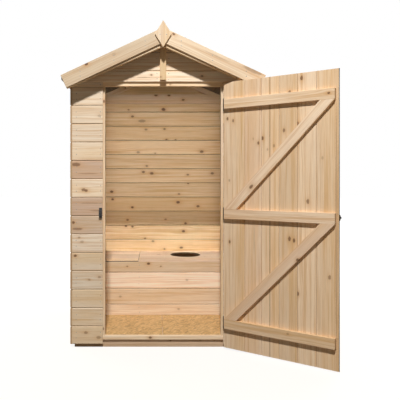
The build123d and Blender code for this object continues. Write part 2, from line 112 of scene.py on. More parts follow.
class Graph:
    """Adds nodes to one node tree, and feeds their sockets."""

    def __init__(self, tree: bpy.types.NodeTree) -> None:
        """Work on a tree.

        Args:
            tree: The node tree that the nodes go into.
        """
        self.tree = tree

    def node(self, kind: str, **settings: object) -> bpy.types.Node:
        """Add a node.

        Args:
            kind: The node's type name.
            settings: Properties to set on it.

        Returns:
            The new node.
        """
        made = self.tree.nodes.new(kind)
        for key, value in settings.items():
            setattr(made, key, value)
        return made

    def feed(self, value: Feed, socket: Socket) -> None:
        """Link a socket to another one, or set it to a constant.

        Args:
            value: A socket or a constant.
            socket: The input to feed.
        """
        if isinstance(value, Socket):
            self.tree.links.new(value, socket)
        else:
            socket.default_value = value

    def attribute(self, name: str) -> Socket:
        """Read a vector attribute of the mesh.

        Args:
            name: The attribute's name.

        Returns:
            Its vector.
        """
        return self.node("ShaderNodeAttribute", attribute_name=name).outputs["Vector"]

    def split(self, vector: Socket) -> tuple[Socket, Socket, Socket]:
        """Take a vector apart.

        Args:
            vector: The vector.

        Returns:
            Its x, y and z.
        """
        made = self.node("ShaderNodeSeparateXYZ")
        self.feed(vector, made.inputs[0])
        return made.outputs[0], made.outputs[1], made.outputs[2]

    def math(self, operation: str, *values: Feed, clamp: bool = False) -> Socket:
        """Do arithmetic on numbers.

        Args:
            operation: The operation's name.
            values: Its operands.
            clamp: Whether the result is kept between 0 and 1.

        Returns:
            The result.
        """
        made = self.node("ShaderNodeMath", operation=operation, use_clamp=clamp)
        for value, socket in zip(values, made.inputs):
            self.feed(value, socket)
        return made.outputs[0]

    def vector(self, operation: str, *values: Feed) -> Socket:
        """Do arithmetic on vectors.

        Args:
            operation: The operation's name.
            values: Its operands, the last one a number for SCALE.

        Returns:
            The resulting vector.
        """
        made = self.node("ShaderNodeVectorMath", operation=operation)
        sockets = (made.inputs[0], made.inputs["Scale"]) if operation == "SCALE" else made.inputs
        for value, socket in zip(values, sockets):
            self.feed(value, socket)
        return made.outputs[0]

    def noise(self, place: Socket, stretch: tuple[float, ...], detail: float = 2.0) -> Socket:
        """Sample noise at a stretched place.

        Args:
            place: Where to sample.
            stretch: Cells per metre along each axis.
            detail: Number of finer layers.

        Returns:
            A value around a half.
        """
        made = self.node("ShaderNodeTexNoise")
        self.feed(self.vector("MULTIPLY", place, stretch), made.inputs["Vector"])
        self.feed(1.0, made.inputs["Scale"])
        self.feed(detail, made.inputs["Detail"])
        return made.outputs[0]

    def fade(
        self, value: Feed, start: float, end: float, low: float = 0.0, high: float = 1.0
    ) -> Socket:
        """Go smoothly from one number to another as a value passes a range.

        Args:
            value: The value.
            start: Where the fade begins.
            end: Where it ends.
            low: The result at its beginning.
            high: The result at its end.

        Returns:
            The faded number.
        """
        made = self.node("ShaderNodeMapRange", interpolation_type="SMOOTHSTEP")
        for number, name in (
            (start, "From Min"), (end, "From Max"), (low, "To Min"), (high, "To Max")
        ):
            self.feed(number, made.inputs[name])
        self.feed(value, made.inputs["Value"])
        return made.outputs[0]

    def mix(self, factor: Feed, first: Feed, second: Feed) -> Socket:
        """Mix two colours.

        Args:
            factor: How much of the second colour shows.
            first: The first colour.
            second: The second colour.

        Returns:
            The mixed colour.
        """
        made = self.node("ShaderNodeMix", data_type="RGBA")
        for value, order in zip((factor, first, second), MIX_INPUTS):
            if isinstance(value, tuple):
                value = (*value, 1.0)
            self.feed(value, made.inputs[order])
        return made.outputs[MIX_OUTPUT]

    def surface(
        self, colour: Feed, roughness: Feed, height: Socket, relief: float, metallic: float = 0.0
    ) -> None:
        """Close the tree with a surface shader and its bump.

        Args:
            colour: Base colour.
            roughness: Roughness.
            height: Height of the bump, from 0 to 1.
            relief: How deep that is, in metres.
            metallic: How metallic the surface is, from 0 to 1.
        """
        bump = self.node("ShaderNodeBump")
        self.feed(1.0, bump.inputs["Strength"])
        self.feed(relief, bump.inputs["Distance"])
        self.feed(height, bump.inputs["Height"])
        shader = self.node("ShaderNodeBsdfPrincipled")
        if isinstance(colour, tuple):
            colour = (*colour, 1.0)
        self.feed(colour, shader.inputs["Base Color"])
        self.feed(roughness, shader.inputs["Roughness"])
        self.feed(metallic, shader.inputs["Metallic"])
        self.feed(SPECULAR, shader.inputs["Specular IOR Level"])
        self.feed(bump.outputs[0], shader.inputs["Normal"])
        output = self.node("ShaderNodeOutputMaterial")
        self.feed(shader.outputs[0], output.inputs["Surface"])


def new_material(name: str) -> tuple[bpy.types.Material, Graph]:
    """Make an empty node material.

    Args:
        name: Its name.

    Returns:
        The material and the graph of its tree.
    """
    material = bpy.data.materials.new(name)
    material.use_nodes = True
    material.node_tree.nodes.clear()
    return material, Graph(material.node_tree)


# Finishes


@dataclass(frozen=True)
class WoodFinish:
    """Softwood whose rings, fibres and knots follow the attributes of each board."""

    name: str
    slot: str
    pale: Colour = (0.89, 0.76, 0.60)
    late: Colour = (0.65, 0.42, 0.23)
    rose: Colour = (0.62, 0.37, 0.24)
    honey: Colour = (0.78, 0.52, 0.24)
    halo: Colour = (0.60, 0.31, 0.11)
    knot: Colour = (0.13, 0.055, 0.02)
    end: Colour = (0.40, 0.24, 0.11)
    # Near-black painted shade, for the faces marked as hollows.
    painted_recess_shade: Colour = (0.045, 0.032, 0.02)
    ring_pitch: float = 0.0046
    ring_strength: float = 0.62
    streak_strength: float = 0.66
    heart_strength: float = 0.42
    roughness: float = 0.58
    relief: float = 0.0003
    saw_pitch: float = 0.0

    def knots(self, graph: Graph, ragged: Socket) -> tuple[Socket, Socket, Socket]:
        """Read the knots of a board.

        Args:
            graph: The graph to build in.
            ragged: Noise that makes their outlines uneven.

        Returns:
            How far they push the rings aside in metres, their cores and their haloes.
        """
        push: Feed = 0.0
        core: Feed = 0.0
        halo: Feed = 0.0
        uneven = graph.math("MULTIPLY_ADD", ragged, 0.9, -0.45)
        for name in KNOT_NAMES:
            along, across, strength = graph.split(graph.attribute(name))
            along_2 = graph.math("MULTIPLY", along, along)
            across_2 = graph.math("MULTIPLY", across, across)
            far_2 = graph.math("ADD", along_2, across_2)
            reach = graph.math("ADD", graph.math("SQRT", far_2), uneven)
            inside = graph.fade(reach, 1.2, 0.7)
            core = graph.math("MAXIMUM", core, graph.math("MULTIPLY", inside, strength))
            near = graph.math("EXPONENT", graph.math("MULTIPLY", far_2, -0.22))
            halo = graph.math("MAXIMUM", halo, graph.math("MULTIPLY", near, strength))
            bent = graph.math(
                "MULTIPLY_ADD", along_2, -0.035, graph.math("MULTIPLY", across_2, -0.09)
            )
            pushed = graph.math("MULTIPLY", graph.math("EXPONENT", bent), across)
            push = graph.math(
                "MULTIPLY_ADD", pushed, graph.math("MULTIPLY", strength, 0.006), push
            )
        return push, core, halo

    def build(self) -> bpy.types.Material:
        """Make the material.

        Returns:
            The material.
        """
        material, graph = new_material(self.name)
        grain = graph.attribute("grain")
        along, across, outward = graph.split(grain)
        light, hue, seed = graph.split(graph.attribute("tone"))
        place = graph.vector("ADD", grain, graph.vector("SCALE", (7.3, 3.1, 5.7), seed))
        slow = graph.noise(place, (1.5, 9.0, 9.0))
        streak = graph.noise(place, (1.8, 62.0, 62.0), 3.0)
        fibre = graph.noise(place, (16.0, 640.0, 640.0))
        blotch = graph.noise(place, (3.5, 22.0, 22.0), 3.0)
        push, core, halo = self.knots(graph, graph.noise(place, (160.0, 260.0, 260.0)))

        pith = graph.math(
            "MULTIPLY_ADD", graph.math("FRACT", graph.math("MULTIPLY", seed, 17.0)), 0.16, -0.08
        )
        depth = graph.math(
            "MULTIPLY_ADD", graph.math("FRACT", graph.math("MULTIPLY", seed, 43.0)), 0.10, 0.03
        )
        wander = graph.math("MULTIPLY_ADD", slow, 0.05, -0.025)
        side = graph.math(
            "SUBTRACT", graph.math("SUBTRACT", graph.math("ADD", across, wander), pith), push
        )
        deep = graph.math("ADD", outward, depth)
        radius = graph.math(
            "SQRT", graph.math(
                "ADD", graph.math("MULTIPLY", side, side), graph.math("MULTIPLY", deep, deep)
            )
        )
        phase = graph.math(
            "MULTIPLY_ADD", radius, 1.0 / self.ring_pitch, graph.math("MULTIPLY", streak, 0.8)
        )
        ring = graph.math("FRACT", phase)
        late = graph.math("MULTIPLY", graph.fade(ring, 0.25, 0.86), graph.fade(ring, 1.0, 0.9))
        late = graph.math("MULTIPLY", late, graph.fade(blotch, 0.3, 0.65, 0.3, 1.0))

        colour = graph.mix(graph.math("MULTIPLY", late, self.ring_strength), self.pale, self.late)
        dark = graph.fade(streak, 0.44, 0.72, 0.0, self.streak_strength)
        colour = graph.mix(dark, colour, self.late)
        inner = graph.math("MULTIPLY_ADD", graph.math("SUBTRACT", slow, 0.5), 0.10, radius)
        heart = graph.fade(inner, 0.055, 0.085, self.heart_strength, 0.0)
        colour = graph.mix(
            graph.math("MULTIPLY", heart, graph.fade(blotch, 0.2, 0.8, 0.5, 1.0)),
            colour,
            self.honey,
        )
        warm = graph.math("ADD", hue, graph.math("MULTIPLY_ADD", slow, 0.8, -0.4))
        colour = graph.mix(graph.math("MULTIPLY", warm, 0.75, clamp=True), colour, self.rose)
        colour = graph.mix(graph.math("MULTIPLY", warm, -0.6, clamp=True), colour, self.honey)
        fine = graph.fade(fibre, 0.3, 0.7, 0.93, 1.04)
        colour = graph.vector("SCALE", colour, graph.math("MULTIPLY", fine, light))
        # End grain takes the end colour. A marked hollow, past 1, also takes near-black painted
        # shade.
        end = graph.split(graph.attribute("end_grain_and_painted_shade"))[0]
        colour = graph.mix(graph.math("MULTIPLY", end, 0.8, clamp=True), colour, self.end)
        colour = graph.mix(graph.math("SUBTRACT", end, 1.0, clamp=True), colour, self.painted_recess_shade)
        colour = graph.mix(graph.math("MULTIPLY", halo, 0.62, clamp=True), colour, self.halo)
        colour = graph.mix(graph.math("MULTIPLY", core, 0.92, clamp=True), colour, self.knot)

        height = graph.math("MULTIPLY_ADD", fibre, 0.6, graph.math("MULTIPLY", late, 0.3))
        height = graph.math("MULTIPLY_ADD", core, 0.5, height)
        if self.saw_pitch:
            teeth = graph.math(
                "MULTIPLY_ADD",
                along,
                math.tau / self.saw_pitch,
                graph.math("MULTIPLY", streak, 4.0),
            )
            height = graph.math("MULTIPLY_ADD", graph.math("SINE", teeth), 0.5, height)
        rough = graph.math("MULTIPLY_ADD", streak, 0.16, self.roughness - 0.08)
        rough = graph.math("MULTIPLY_ADD", core, -0.15, rough)
        graph.surface(colour, rough, height, self.relief)
        return material


@dataclass(frozen=True)
class StrandBoardFinish:
    """Board of pressed wood strands that lie at several angles."""

    name: str = "strand_board"
    slot: str = "strand_board"
    pale: Colour = (0.80, 0.55, 0.27)
    mid: Colour = (0.66, 0.41, 0.17)
    dark: Colour = (0.40, 0.23, 0.085)
    angles: tuple[float, ...] = (0.15, 0.95, 1.75, 2.5, 3.0, 0.55, 2.1)
    strand: tuple[float, ...] = (26.0, 120.0, 120.0)
    relief: float = 0.0005

    def build(self) -> bpy.types.Material:
        """Make the material.

        Returns:
            The material.
        """
        material, graph = new_material(self.name)
        place = graph.node("ShaderNodeTexCoord").outputs["Object"]
        shade: Feed = 0.5
        height: Feed = 0.5
        for order, angle in enumerate(self.angles):
            turned = graph.node("ShaderNodeVectorRotate", rotation_type="Z_AXIS")
            graph.feed(place, turned.inputs["Vector"])
            graph.feed(angle, turned.inputs["Angle"])
            laid = graph.vector("MULTIPLY", turned.outputs[0], self.strand)
            cells = graph.node("ShaderNodeTexVoronoi")
            graph.feed(
                graph.vector("ADD", laid, (order * 5.3, order * 2.9, 0.0)), cells.inputs["Vector"]
            )
            graph.feed(1.0, cells.inputs["Scale"])
            tint, chance, _ = graph.split(cells.outputs["Color"])
            shown = graph.math("GREATER_THAN", chance, 0.55 if order else -1.0)
            fibre = graph.noise(turned.outputs[0], (30.0, 900.0, 900.0))
            rim = graph.fade(cells.outputs["Distance"], 0.35, 0.75, 0.0, -0.25)
            value = graph.math("ADD", graph.math("MULTIPLY_ADD", fibre, 0.35, tint), rim)
            for_shade = graph.math("MULTIPLY", graph.math("SUBTRACT", value, shade), shown)
            shade = graph.math("ADD", shade, for_shade)
            raised = graph.math("MULTIPLY_ADD", chance, 0.6, graph.math("MULTIPLY", rim, 1.2))
            height = graph.math(
                "ADD",
                height,
                graph.math("MULTIPLY", graph.math("SUBTRACT", raised, height), shown),
            )
        colour = graph.mix(graph.fade(shade, 0.0, 0.6), self.dark, self.mid)
        colour = graph.mix(graph.fade(shade, 0.5, 1.25), colour, self.pale)
        graph.surface(colour, graph.fade(shade, 0.0, 1.0, 0.5, 0.66), height, self.relief)
        return material


@dataclass(frozen=True)
class FeltFinish:
    """Roofing felt with mineral chips pressed into it."""

    name: str = "mineral_felt"
    slot: str = "roofing_felt"
    ground: Colour = (0.022, 0.024, 0.024)
    chip: Colour = (0.115, 0.125, 0.115)
    chips_per_metre: float = 750.0
    relief: float = 0.0007

    def build(self) -> bpy.types.Material:
        """Make the material.

        Returns:
            The material.
        """
        material, graph = new_material(self.name)
        place = graph.node("ShaderNodeTexCoord").outputs["Object"]
        cells = graph.node("ShaderNodeTexVoronoi")
        graph.feed(place, cells.inputs["Vector"])
        graph.feed(self.chips_per_metre, cells.inputs["Scale"])
        tint = graph.split(cells.outputs["Color"])[0]
        worn = graph.noise(place, (5.0, 5.0, 5.0), 4.0)
        colour = graph.mix(
            graph.math("MULTIPLY", tint, graph.fade(worn, 0.3, 0.7, 0.55, 1.0)),
            self.ground,
            self.chip,
        )
        height = graph.math("SUBTRACT", 1.0, cells.outputs["Distance"])
        graph.surface(colour, graph.fade(tint, 0.0, 1.0, 0.8, 0.95), height, self.relief)
        return material


@dataclass(frozen=True)
class MetalFinish:
    """Metal, bare or under a textured coat, a little brighter where it is rubbed."""

    name: str
    slot: str
    base: Colour
    rubbed: Colour
    metallic: float
    roughness: float
    grains_per_metre: float
    relief: float

    def build(self) -> bpy.types.Material:
        """Make the material.

        Returns:
            The material.
        """
        material, graph = new_material(self.name)
        place = graph.node("ShaderNodeTexCoord").outputs["Object"]
        fine = (self.grains_per_metre,) * 3
        skin = graph.noise(place, fine)
        patch = graph.noise(place, (60.0, 60.0, 60.0), 4.0)
        colour = graph.mix(graph.fade(patch, 0.45, 0.8), self.base, self.rubbed)
        rough = graph.fade(patch, 0.3, 0.7, self.roughness, self.roughness + 0.14)
        graph.surface(colour, rough, skin, self.relief, self.metallic)
        return material


Finish = WoodFinish | StrandBoardFinish | FeltFinish | MetalFinish


@dataclass
class Finishes:
    """The finishes of the outhouse, each made into a material when it is first used."""

    cladding: WoodFinish = WoodFinish("cladding_softwood", "cladding_boards")
    back: WoodFinish = WoodFinish(
        "back_softwood",
        "cladding_boards",
        pale=(0.90, 0.70, 0.43),
        late=(0.66, 0.39, 0.14),
        streak_strength=0.75,
    )
    # Near-black deck boards: painted shade for the dark underside of the roof.
    deck: WoodFinish = WoodFinish(
        "deck_softwood",
        "cladding_boards",
        pale=(0.100, 0.085, 0.070),
        late=(0.060, 0.048, 0.038),
        rose=(0.080, 0.055, 0.042),
        honey=(0.095, 0.074, 0.048),
        halo=(0.050, 0.034, 0.022),
        end=(0.050, 0.040, 0.032),
    )
    lining: WoodFinish = WoodFinish(
        "bench_softwood",
        "inner_boards",
        pale=(0.96, 0.79, 0.61),
        late=(0.70, 0.43, 0.24),
        # Darker end colour than the other woods: real end grain, and also painted shade on the
        # seat hole's wall.
        end=(0.20, 0.11, 0.05),
    )
    planed: WoodFinish = WoodFinish(
        "planed_softwood",
        "planed_timber",
        pale=(0.86, 0.69, 0.49),
        ring_pitch=0.0052,
        ring_strength=0.45,
    )
    door: WoodFinish = WoodFinish(
        "door_softwood",
        "door_timber",
        pale=(0.95, 0.75, 0.54),
        late=(0.67, 0.40, 0.18),
        honey=(0.80, 0.50, 0.22),
    )
    sawn: WoodFinish = WoodFinish(
        "sawn_softwood",
        "bearer_timber",
        pale=(0.86, 0.62, 0.43),
        late=(0.60, 0.37, 0.21),
        roughness=0.78,
        relief=0.0007,
        saw_pitch=0.0042,
    )
    strand: StrandBoardFinish = StrandBoardFinish()
    felt: FeltFinish = FeltFinish()
    black: MetalFinish = MetalFinish(
        "black_coated_steel",
        "black_steel",
        (0.012, 0.012, 0.013),
        (0.035, 0.034, 0.033),
        0.0,
        0.4,
        1800.0,
        0.00012,
    )
    zinc: MetalFinish = MetalFinish(
        "zinc_plated_steel",
        "black_steel",
        (0.34, 0.34, 0.33),
        (0.20, 0.19, 0.18),
        1.0,
        0.42,
        2600.0,
        0.00005,
    )
    made: dict[str, bpy.types.Material] = field(default_factory=dict)

    def material(self, finish: Finish) -> bpy.types.Material:
        """Give a finish's material.

        Args:
            finish: One of the finishes above.

        Returns:
            Its material.
        """
        if finish.name not in self.made:
            self.made[finish.name] = finish.build()
        return self.made[finish.name]


class Tone(Enum):
    """How light a board is, and how far it leans to honey (below 0) or rose (above 0)."""

    BRIGHT = (1.17, -0.05)
    PALE = (1.07, -0.10)
    CREAM = (1.01, -0.20)
    PEACH = (1.00, 0.18)
    TAN = (0.93, -0.35)
    HONEY = (0.93, -0.85)
    ROSY = (0.88, 0.62)
    DULL = (0.83, -0.20)
    AMBER = (0.82, -0.70)
    SHADED = (0.34, 0.25)


EVERYDAY = (Tone.PALE, Tone.CREAM, Tone.CREAM, Tone.PEACH, Tone.TAN, Tone.ROSY)


class PaintedShade(IntEnum):
    """Marks of the faces that get painted shade, in a hole, a groove or under an edge.

    They are kept in material_index until the board is added. Boards.add then writes them into the
    face attribute that also holds end grain, which is 0 on side grain, 1 on end grain, and 1.5
    on a RIM or 2 in a DEEP face, where the finish paints shade: half-way to near-black on a RIM
    and fully near-black in a DEEP face.
    """

    NONE = 0
    RIM = 1
    DEEP = 2


# Boards


@dataclass(frozen=True)
class Mark:
    """A knot, pin knot or streak at a point of a board's face."""

    at: Vector
    length: float
    width: float
    strength: float


def front_marks(*marks: tuple[float, ...]) -> list[Mark]:
    """Marks on a face that is drawn in x and z.

    Args:
        marks: For each one its x, z, size and strength, and for a streak its length last.

    Returns:
        The marks.
    """
    return [
        Mark(Vector((x, 0.0, z)), rest[0] if rest else 1.7 * size, 1.2 * size, strength)
        for x, z, size, strength, *rest in marks
    ]


@dataclass(frozen=True)
class Axes:
    """Directions of a board: along its grain, across it, and out of its better face."""

    along: Vector
    across: Vector
    outward: Vector

    def span(self, part: Mesh, direction: Vector) -> tuple[float, float]:
        """Measure a part.

        Args:
            part: The part.
            direction: The direction to measure in.

        Returns:
            Its lowest and highest coordinate in that direction.
        """
        reach = [vert.co.dot(direction) for vert in part.verts]
        return min(reach), max(reach)


def solids_of(node: str) -> list[Mesh]:
    """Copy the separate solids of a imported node.

    Args:
        node: The node's name.

    Returns:
        One welded mesh for each solid.
    """
    whole = bmesh.new()
    whole.from_mesh(bpy.data.objects[node].data)
    bmesh.ops.remove_doubles(whole, verts=whole.verts, dist=WELD)
    waiting = set(whole.verts)
    groups: list[set[int]] = []
    while waiting:
        queue = [waiting.pop()]
        group = set()
        while queue:
            vert = queue.pop()
            group.add(vert.index)
            for edge in vert.link_edges:
                other = edge.other_vert(vert)
                if other in waiting:
                    waiting.discard(other)
                    queue.append(other)
        groups.append(group)
    solids = []
    for group in sorted(groups, key=min):
        solid = whole.copy()
        outside = [vert for vert in solid.verts if vert.index not in group]
        bmesh.ops.delete(solid, geom=outside, context="VERTS")
        solids.append(solid)
    whole.free()
    return solids


def cut(part: Mesh, point: Vector, normal: Vector) -> None:
    """Cut off what lies beyond a plane, and close the cut.

    Args:
        part: The part to cut.
        point: A point on the plane.
        normal: The plane's normal, towards the side that goes.
    """
    everything = [*part.verts, *part.edges, *part.faces]
    bmesh.ops.bisect_plane(
        part, geom=everything, dist=WELD, plane_co=point, plane_no=normal, clear_outer=True
    )
    open_edges = [edge for edge in part.edges if edge.is_boundary]
    bmesh.ops.holes_fill(part, edges=open_edges, sides=0)


def between(part: Mesh, direction: Vector, low: float, high: float) -> Mesh:
    """Copy what lies between two planes.

    Args:
        part: The part to copy from.
        direction: The planes' normal.
        low: Where the first plane is along it.
        high: Where the second one is.

    Returns:
        The slice.
    """
    piece = part.copy()
    cut(piece, direction * low, -direction)
    cut(piece, direction * high, direction)
    return piece


def merge_flat(part: Mesh) -> None:
    """Merge faces that lie in one plane.

    Args:
        part: The part to tidy.
    """
    bmesh.ops.remove_doubles(part, verts=part.verts, dist=WELD)
    bmesh.ops.dissolve_limit(part, angle_limit=FLAT_ANGLE, verts=part.verts, edges=part.edges)
    part.normal_update()


def bevel(part: Mesh, edges: Sequence[Edge], offset: float, segments: int = 1) -> None:
    """Bevel some edges of a part.

    Args:
        part: The part.
        edges: The edges to bevel.
        offset: How far the bevel goes in from each edge.
        segments: How many faces it has.
    """
    if edges and offset > 0:
        bmesh.ops.bevel(
            part,
            geom=edges,
            offset=offset,
            offset_type="OFFSET",
            segments=segments,
            profile=0.5,
            affect="EDGES",
            material=-1,
            clamp_overlap=True,
        )
        part.normal_update()


def corners(part: Mesh, least_degrees: float = 55.0) -> list[Edge]:
    """Find the edges that turn a corner.

    Args:
        part: The part.
        least_degrees: The smallest turn that counts.

    Returns:
        The edges.
    """
    least = math.radians(least_degrees)
    return [
        edge
        for edge in part.edges
        if len(edge.link_faces) == 2 and edge.calc_face_angle(0.0) > least
    ]


@dataclass(frozen=True)
class Joint:
    """How tongue-and-groove boards meet: the gap that shows and the chamfers beside it."""

    gap: float = 0.0024
    face: float = 0.0034
    back: float = 0.0015
    ease: float = 0.0005
    tongue: float = 0.34

    def shape(self, part: Mesh, axes: Axes) -> None:
        """Chamfer a board along the grain and ease its other edges.

        Args:
            part: The board.
            axes: Its directions.
        """
        merge_flat(part)
        for offset, direction in ((self.face, axes.outward), (self.back, -axes.outward)):
            edges = []
            for edge in corners(part):
                line = edge.verts[1].co - edge.verts[0].co
                runs = line.length > WELD and abs(line.normalized().dot(axes.along)) > PARALLEL
                if runs and any(face.normal.dot(direction) > FACING for face in edge.link_faces):
                    edges.append(edge)
            bevel(part, edges, offset)
        bevel(part, corners(part), self.ease)


MATCHED = Joint()
LINING = Joint(gap=0.0026, face=0.0036, back=0.0010)
CLOSE = Joint(gap=0.0010, face=0.0012, back=0.0006)
BACKED = Joint(gap=0.0036, face=0.0034, back=0.0032)


class Gathered:
    """Small parts joined into one mesh."""

    def __init__(self, name: str) -> None:
        """Start with no parts.

        Args:
            name: Name of the object that they become.
        """
        self.name = name
        self.bm = bmesh.new()

    def absorb(self, part: Mesh, place: Matrix | None = None) -> dict:
        """Copy a part in.

        Args:
            part: The part, which stays as it is.
            place: Where it goes.

        Returns:
            The new vertex for each of the part's vertices.
        """
        copied = {}
        for vert in part.verts:
            copied[vert] = self.bm.verts.new(place @ vert.co if place else vert.co)
        for face in part.faces:
            made = self.bm.faces.new([copied[vert] for vert in face.verts])
            made.smooth = face.smooth
            made.material_index = face.material_index
        return copied

    def publish(
        self,
        finish: Finish,
        finishes: Finishes,
        body: str,
        nodes: Iterable[str] = (),
        smooth: bool = False,
    ) -> bpy.types.Object:
        """Turn the parts into a piece that rides on a body.

        Args:
            finish: The piece's finish.
            finishes: Where its material comes from.
            body: The body that it moves with.
            nodes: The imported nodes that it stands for.
            smooth: Whether curved faces are shaded smooth.

        Returns:
            The piece.
        """
        bmesh.ops.recalc_face_normals(self.bm, faces=self.bm.faces)
        mesh = bpy.data.meshes.new(self.name)
        self.bm.to_mesh(mesh)
        self.bm.free()
        if smooth:
            mesh.polygons.foreach_set("use_smooth", [True] * len(mesh.polygons))
            mesh.set_sharp_from_angle(angle=math.radians(38))
        mesh.materials.append(finishes.material(finish))
        piece = bpy.data.objects.new(self.name, mesh)
        bpy.context.scene.collection.objects.link(piece)
        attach(piece, body)
        if nodes:
            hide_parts(*nodes)
        LOG.info("%s: %d faces", self.name, len(mesh.polygons))
        return piece


class Boards(Gathered):
    """Boards joined into one mesh, with the attributes that a wood finish reads."""

    def __init__(self, name: str) -> None:
        """Start with no boards.

        Args:
            name: Name of the object that they become, which also seeds their grain.
        """
        super().__init__(name)
        for attribute in ("grain", "tone", *KNOT_NAMES):
            self.bm.verts.layers.float_vector.new(attribute)
        self.bm.faces.layers.float.new("end_grain_and_painted_shade")
        self.rng = random.Random(name)

    def knots_for(
        self,
        along: tuple[float, float],
        across: tuple[float, float],
        axes: Axes,
        marks: Sequence[Mark],
    ) -> list[tuple[float, ...]]:
        """Choose the knots of one board.

        Args:
            along: Its reach along the grain.
            across: Its reach across the grain.
            axes: Its directions.
            marks: Listed marks. Where there are none, knots are scattered.

        Returns:
            For each knot its place along and across, half its length and width, and its strength.
        """
        if marks:
            placed = [
                (
                    mark.at.dot(axes.along),
                    mark.at.dot(axes.across),
                    mark.length,
                    mark.width,
                    mark.strength,
                )
                for mark in marks
            ]
            inside = [
                knot
                for knot in placed
                if along[0] <= knot[0] <= along[1] and across[0] <= knot[1] < across[1]
            ]
            return sorted(inside, key=lambda knot: -knot[3] * knot[4])[:KNOT_SLOTS]
        length = along[1] - along[0]
        count = min(KNOT_SLOTS, int(length * self.rng.uniform(*KNOTS_PER_METRE) + 0.5))
        knots = []
        for _ in range(count):
            size = self.rng.choice(KNOT_SIZES)
            strength = self.rng.uniform(*KNOT_STRENGTHS)
            spot = (self.rng.uniform(*along), self.rng.uniform(*across))
            knots.append((*spot, size * self.rng.uniform(*KNOT_STRETCH), size, strength))
        return knots

    def add(self, part: Mesh, axes: Axes, tone: Tone, marks: Sequence[Mark] = ()) -> None:
        """Add a finished board.

        Args:
            part: The board.
            axes: Its directions.
            tone: Its colour.
            marks: Listed marks.
        """
        along = axes.span(part, axes.along)
        across = axes.span(part, axes.across)
        outward = axes.span(part, axes.outward)[1]
        middle = sum(across) / 2
        knots = self.knots_for(along, across, axes, marks)
        light, hue = tone.value
        light += self.rng.uniform(-LIGHT_SPREAD, LIGHT_SPREAD)
        hue += self.rng.uniform(-HUE_SPREAD, HUE_SPREAD)
        shade = (light, hue, self.rng.random())
        copied = self.absorb(part)
        vector = self.bm.verts.layers.float_vector
        grain, tones = vector.get("grain"), vector.get("tone")
        layers = [vector.get(name) for name in KNOT_NAMES]
        for vert in copied.values():
            place = (vert.co.dot(axes.along), vert.co.dot(axes.across), vert.co.dot(axes.outward))
            vert[grain] = (place[0], place[1] - middle, place[2] - outward)
            vert[tones] = shade
            for order, layer in enumerate(layers):
                vert[layer] = NO_KNOT
                if order < len(knots):
                    at_along, at_across, length, width, strength = knots[order]
                    vert[layer] = (
                        (place[0] - at_along) / length, (place[1] - at_across) / width, strength
                    )
        end = self.bm.faces.layers.float.get("end_grain_and_painted_shade")
        fresh = {face for vert in copied.values() for face in vert.link_faces}
        for face in fresh:
            face.normal_update()
            is_end = abs(face.normal.dot(axes.along)) > END_FACING
            # Faces marked as hollows get a value past 1, which the finish paints as shade.
            shade_mark = face.material_index
            face[end] = 1.0 + shade_mark / 2 if shade_mark or is_end else 0.0
            face.material_index = PaintedShade.NONE

    def lay(
        self,
        node: str,
        axes: Axes,
        joints: Sequence[float],
        joint: Joint = MATCHED,
        tones: Sequence[Tone] = (),
        marks: Sequence[Mark] = (),
        last_touch: Callable[[Mesh], None] | None = None,
    ) -> list[tuple[float, float]]:
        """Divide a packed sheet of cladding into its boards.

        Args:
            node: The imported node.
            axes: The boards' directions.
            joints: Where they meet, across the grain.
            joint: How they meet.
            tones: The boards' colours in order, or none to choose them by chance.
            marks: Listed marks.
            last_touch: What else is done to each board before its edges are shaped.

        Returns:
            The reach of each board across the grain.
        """
        courses = []
        for solid in solids_of(node):
            low, high = axes.span(solid, axes.across)
            first_place, last_place = low + NARROWEST_BOARD, high - NARROWEST_BOARD
            inner = [place for place in joints if first_place < place < last_place]
            limits = [low, *inner, high]
            for order, (start, end) in enumerate(zip(limits, limits[1:])):
                first = start + (joint.gap / 2 if order else -joint.gap)
                last = end - (joint.gap / 2 if order < len(inner) else -joint.gap)
                board = between(solid, axes.across, first, last)
                if last_touch:
                    last_touch(board)
                joint.shape(board, axes)
                tone = tones[order % len(tones)] if tones else self.rng.choice(EVERYDAY)
                self.add(board, axes, tone, marks)
                board.free()
                courses.append((start, end))
                if order < len(inner):
                    self.tongue(solid, axes, end, joint)
            solid.free()
        return courses

    def tongue(self, solid: Mesh, axes: Axes, place: float, joint: Joint) -> None:
        """Add the strip of tongue that shows in a joint.

        Args:
            solid: The sheet that the boards are cut from.
            axes: The boards' directions.
            place: Where the joint is.
            joint: How the boards meet.
        """
        strip = between(solid, axes.across, place - joint.gap / 2, place + joint.gap / 2)
        if strip.verts:
            low, high = axes.span(strip, axes.outward)
            margin = (high - low) * joint.tongue
            middle = between(strip, axes.outward, low + margin, high - margin)
            merge_flat(middle)
            self.add(middle, axes, Tone.SHADED)
            middle.free()
        strip.free()

    def timber(
        self,
        node: str,
        facing: Vector = -Y,
        tones: Sequence[Tone] = (Tone.CREAM,),
        marks: Sequence[Mark] = (),
        along: Vector | None = None,
        ease: float = 0.0014,
    ) -> None:
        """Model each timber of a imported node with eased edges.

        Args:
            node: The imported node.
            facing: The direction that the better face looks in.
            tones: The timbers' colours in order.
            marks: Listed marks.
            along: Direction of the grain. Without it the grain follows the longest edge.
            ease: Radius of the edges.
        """
        for order, solid in enumerate(solids_of(node)):
            merge_flat(solid)
            run = along
            if run is None:
                longest = max(solid.edges, key=lambda edge: edge.calc_length())
                run = (longest.verts[1].co - longest.verts[0].co).normalized()
                run = -run if run.dot(X + Y + Z) < 0 else run
            sides = [face for face in solid.faces if abs(face.normal.dot(run)) < SIDEWAYS]
            outward = max(sides, key=lambda face: face.normal.dot(facing)).normal.copy()
            axes = Axes(run, outward.cross(run).normalized(), outward)
            bevel(solid, corners(solid, TIMBER_TURN_DEGREES), ease, 2)
            self.add(solid, axes, tones[order % len(tones)], marks)
            solid.free()


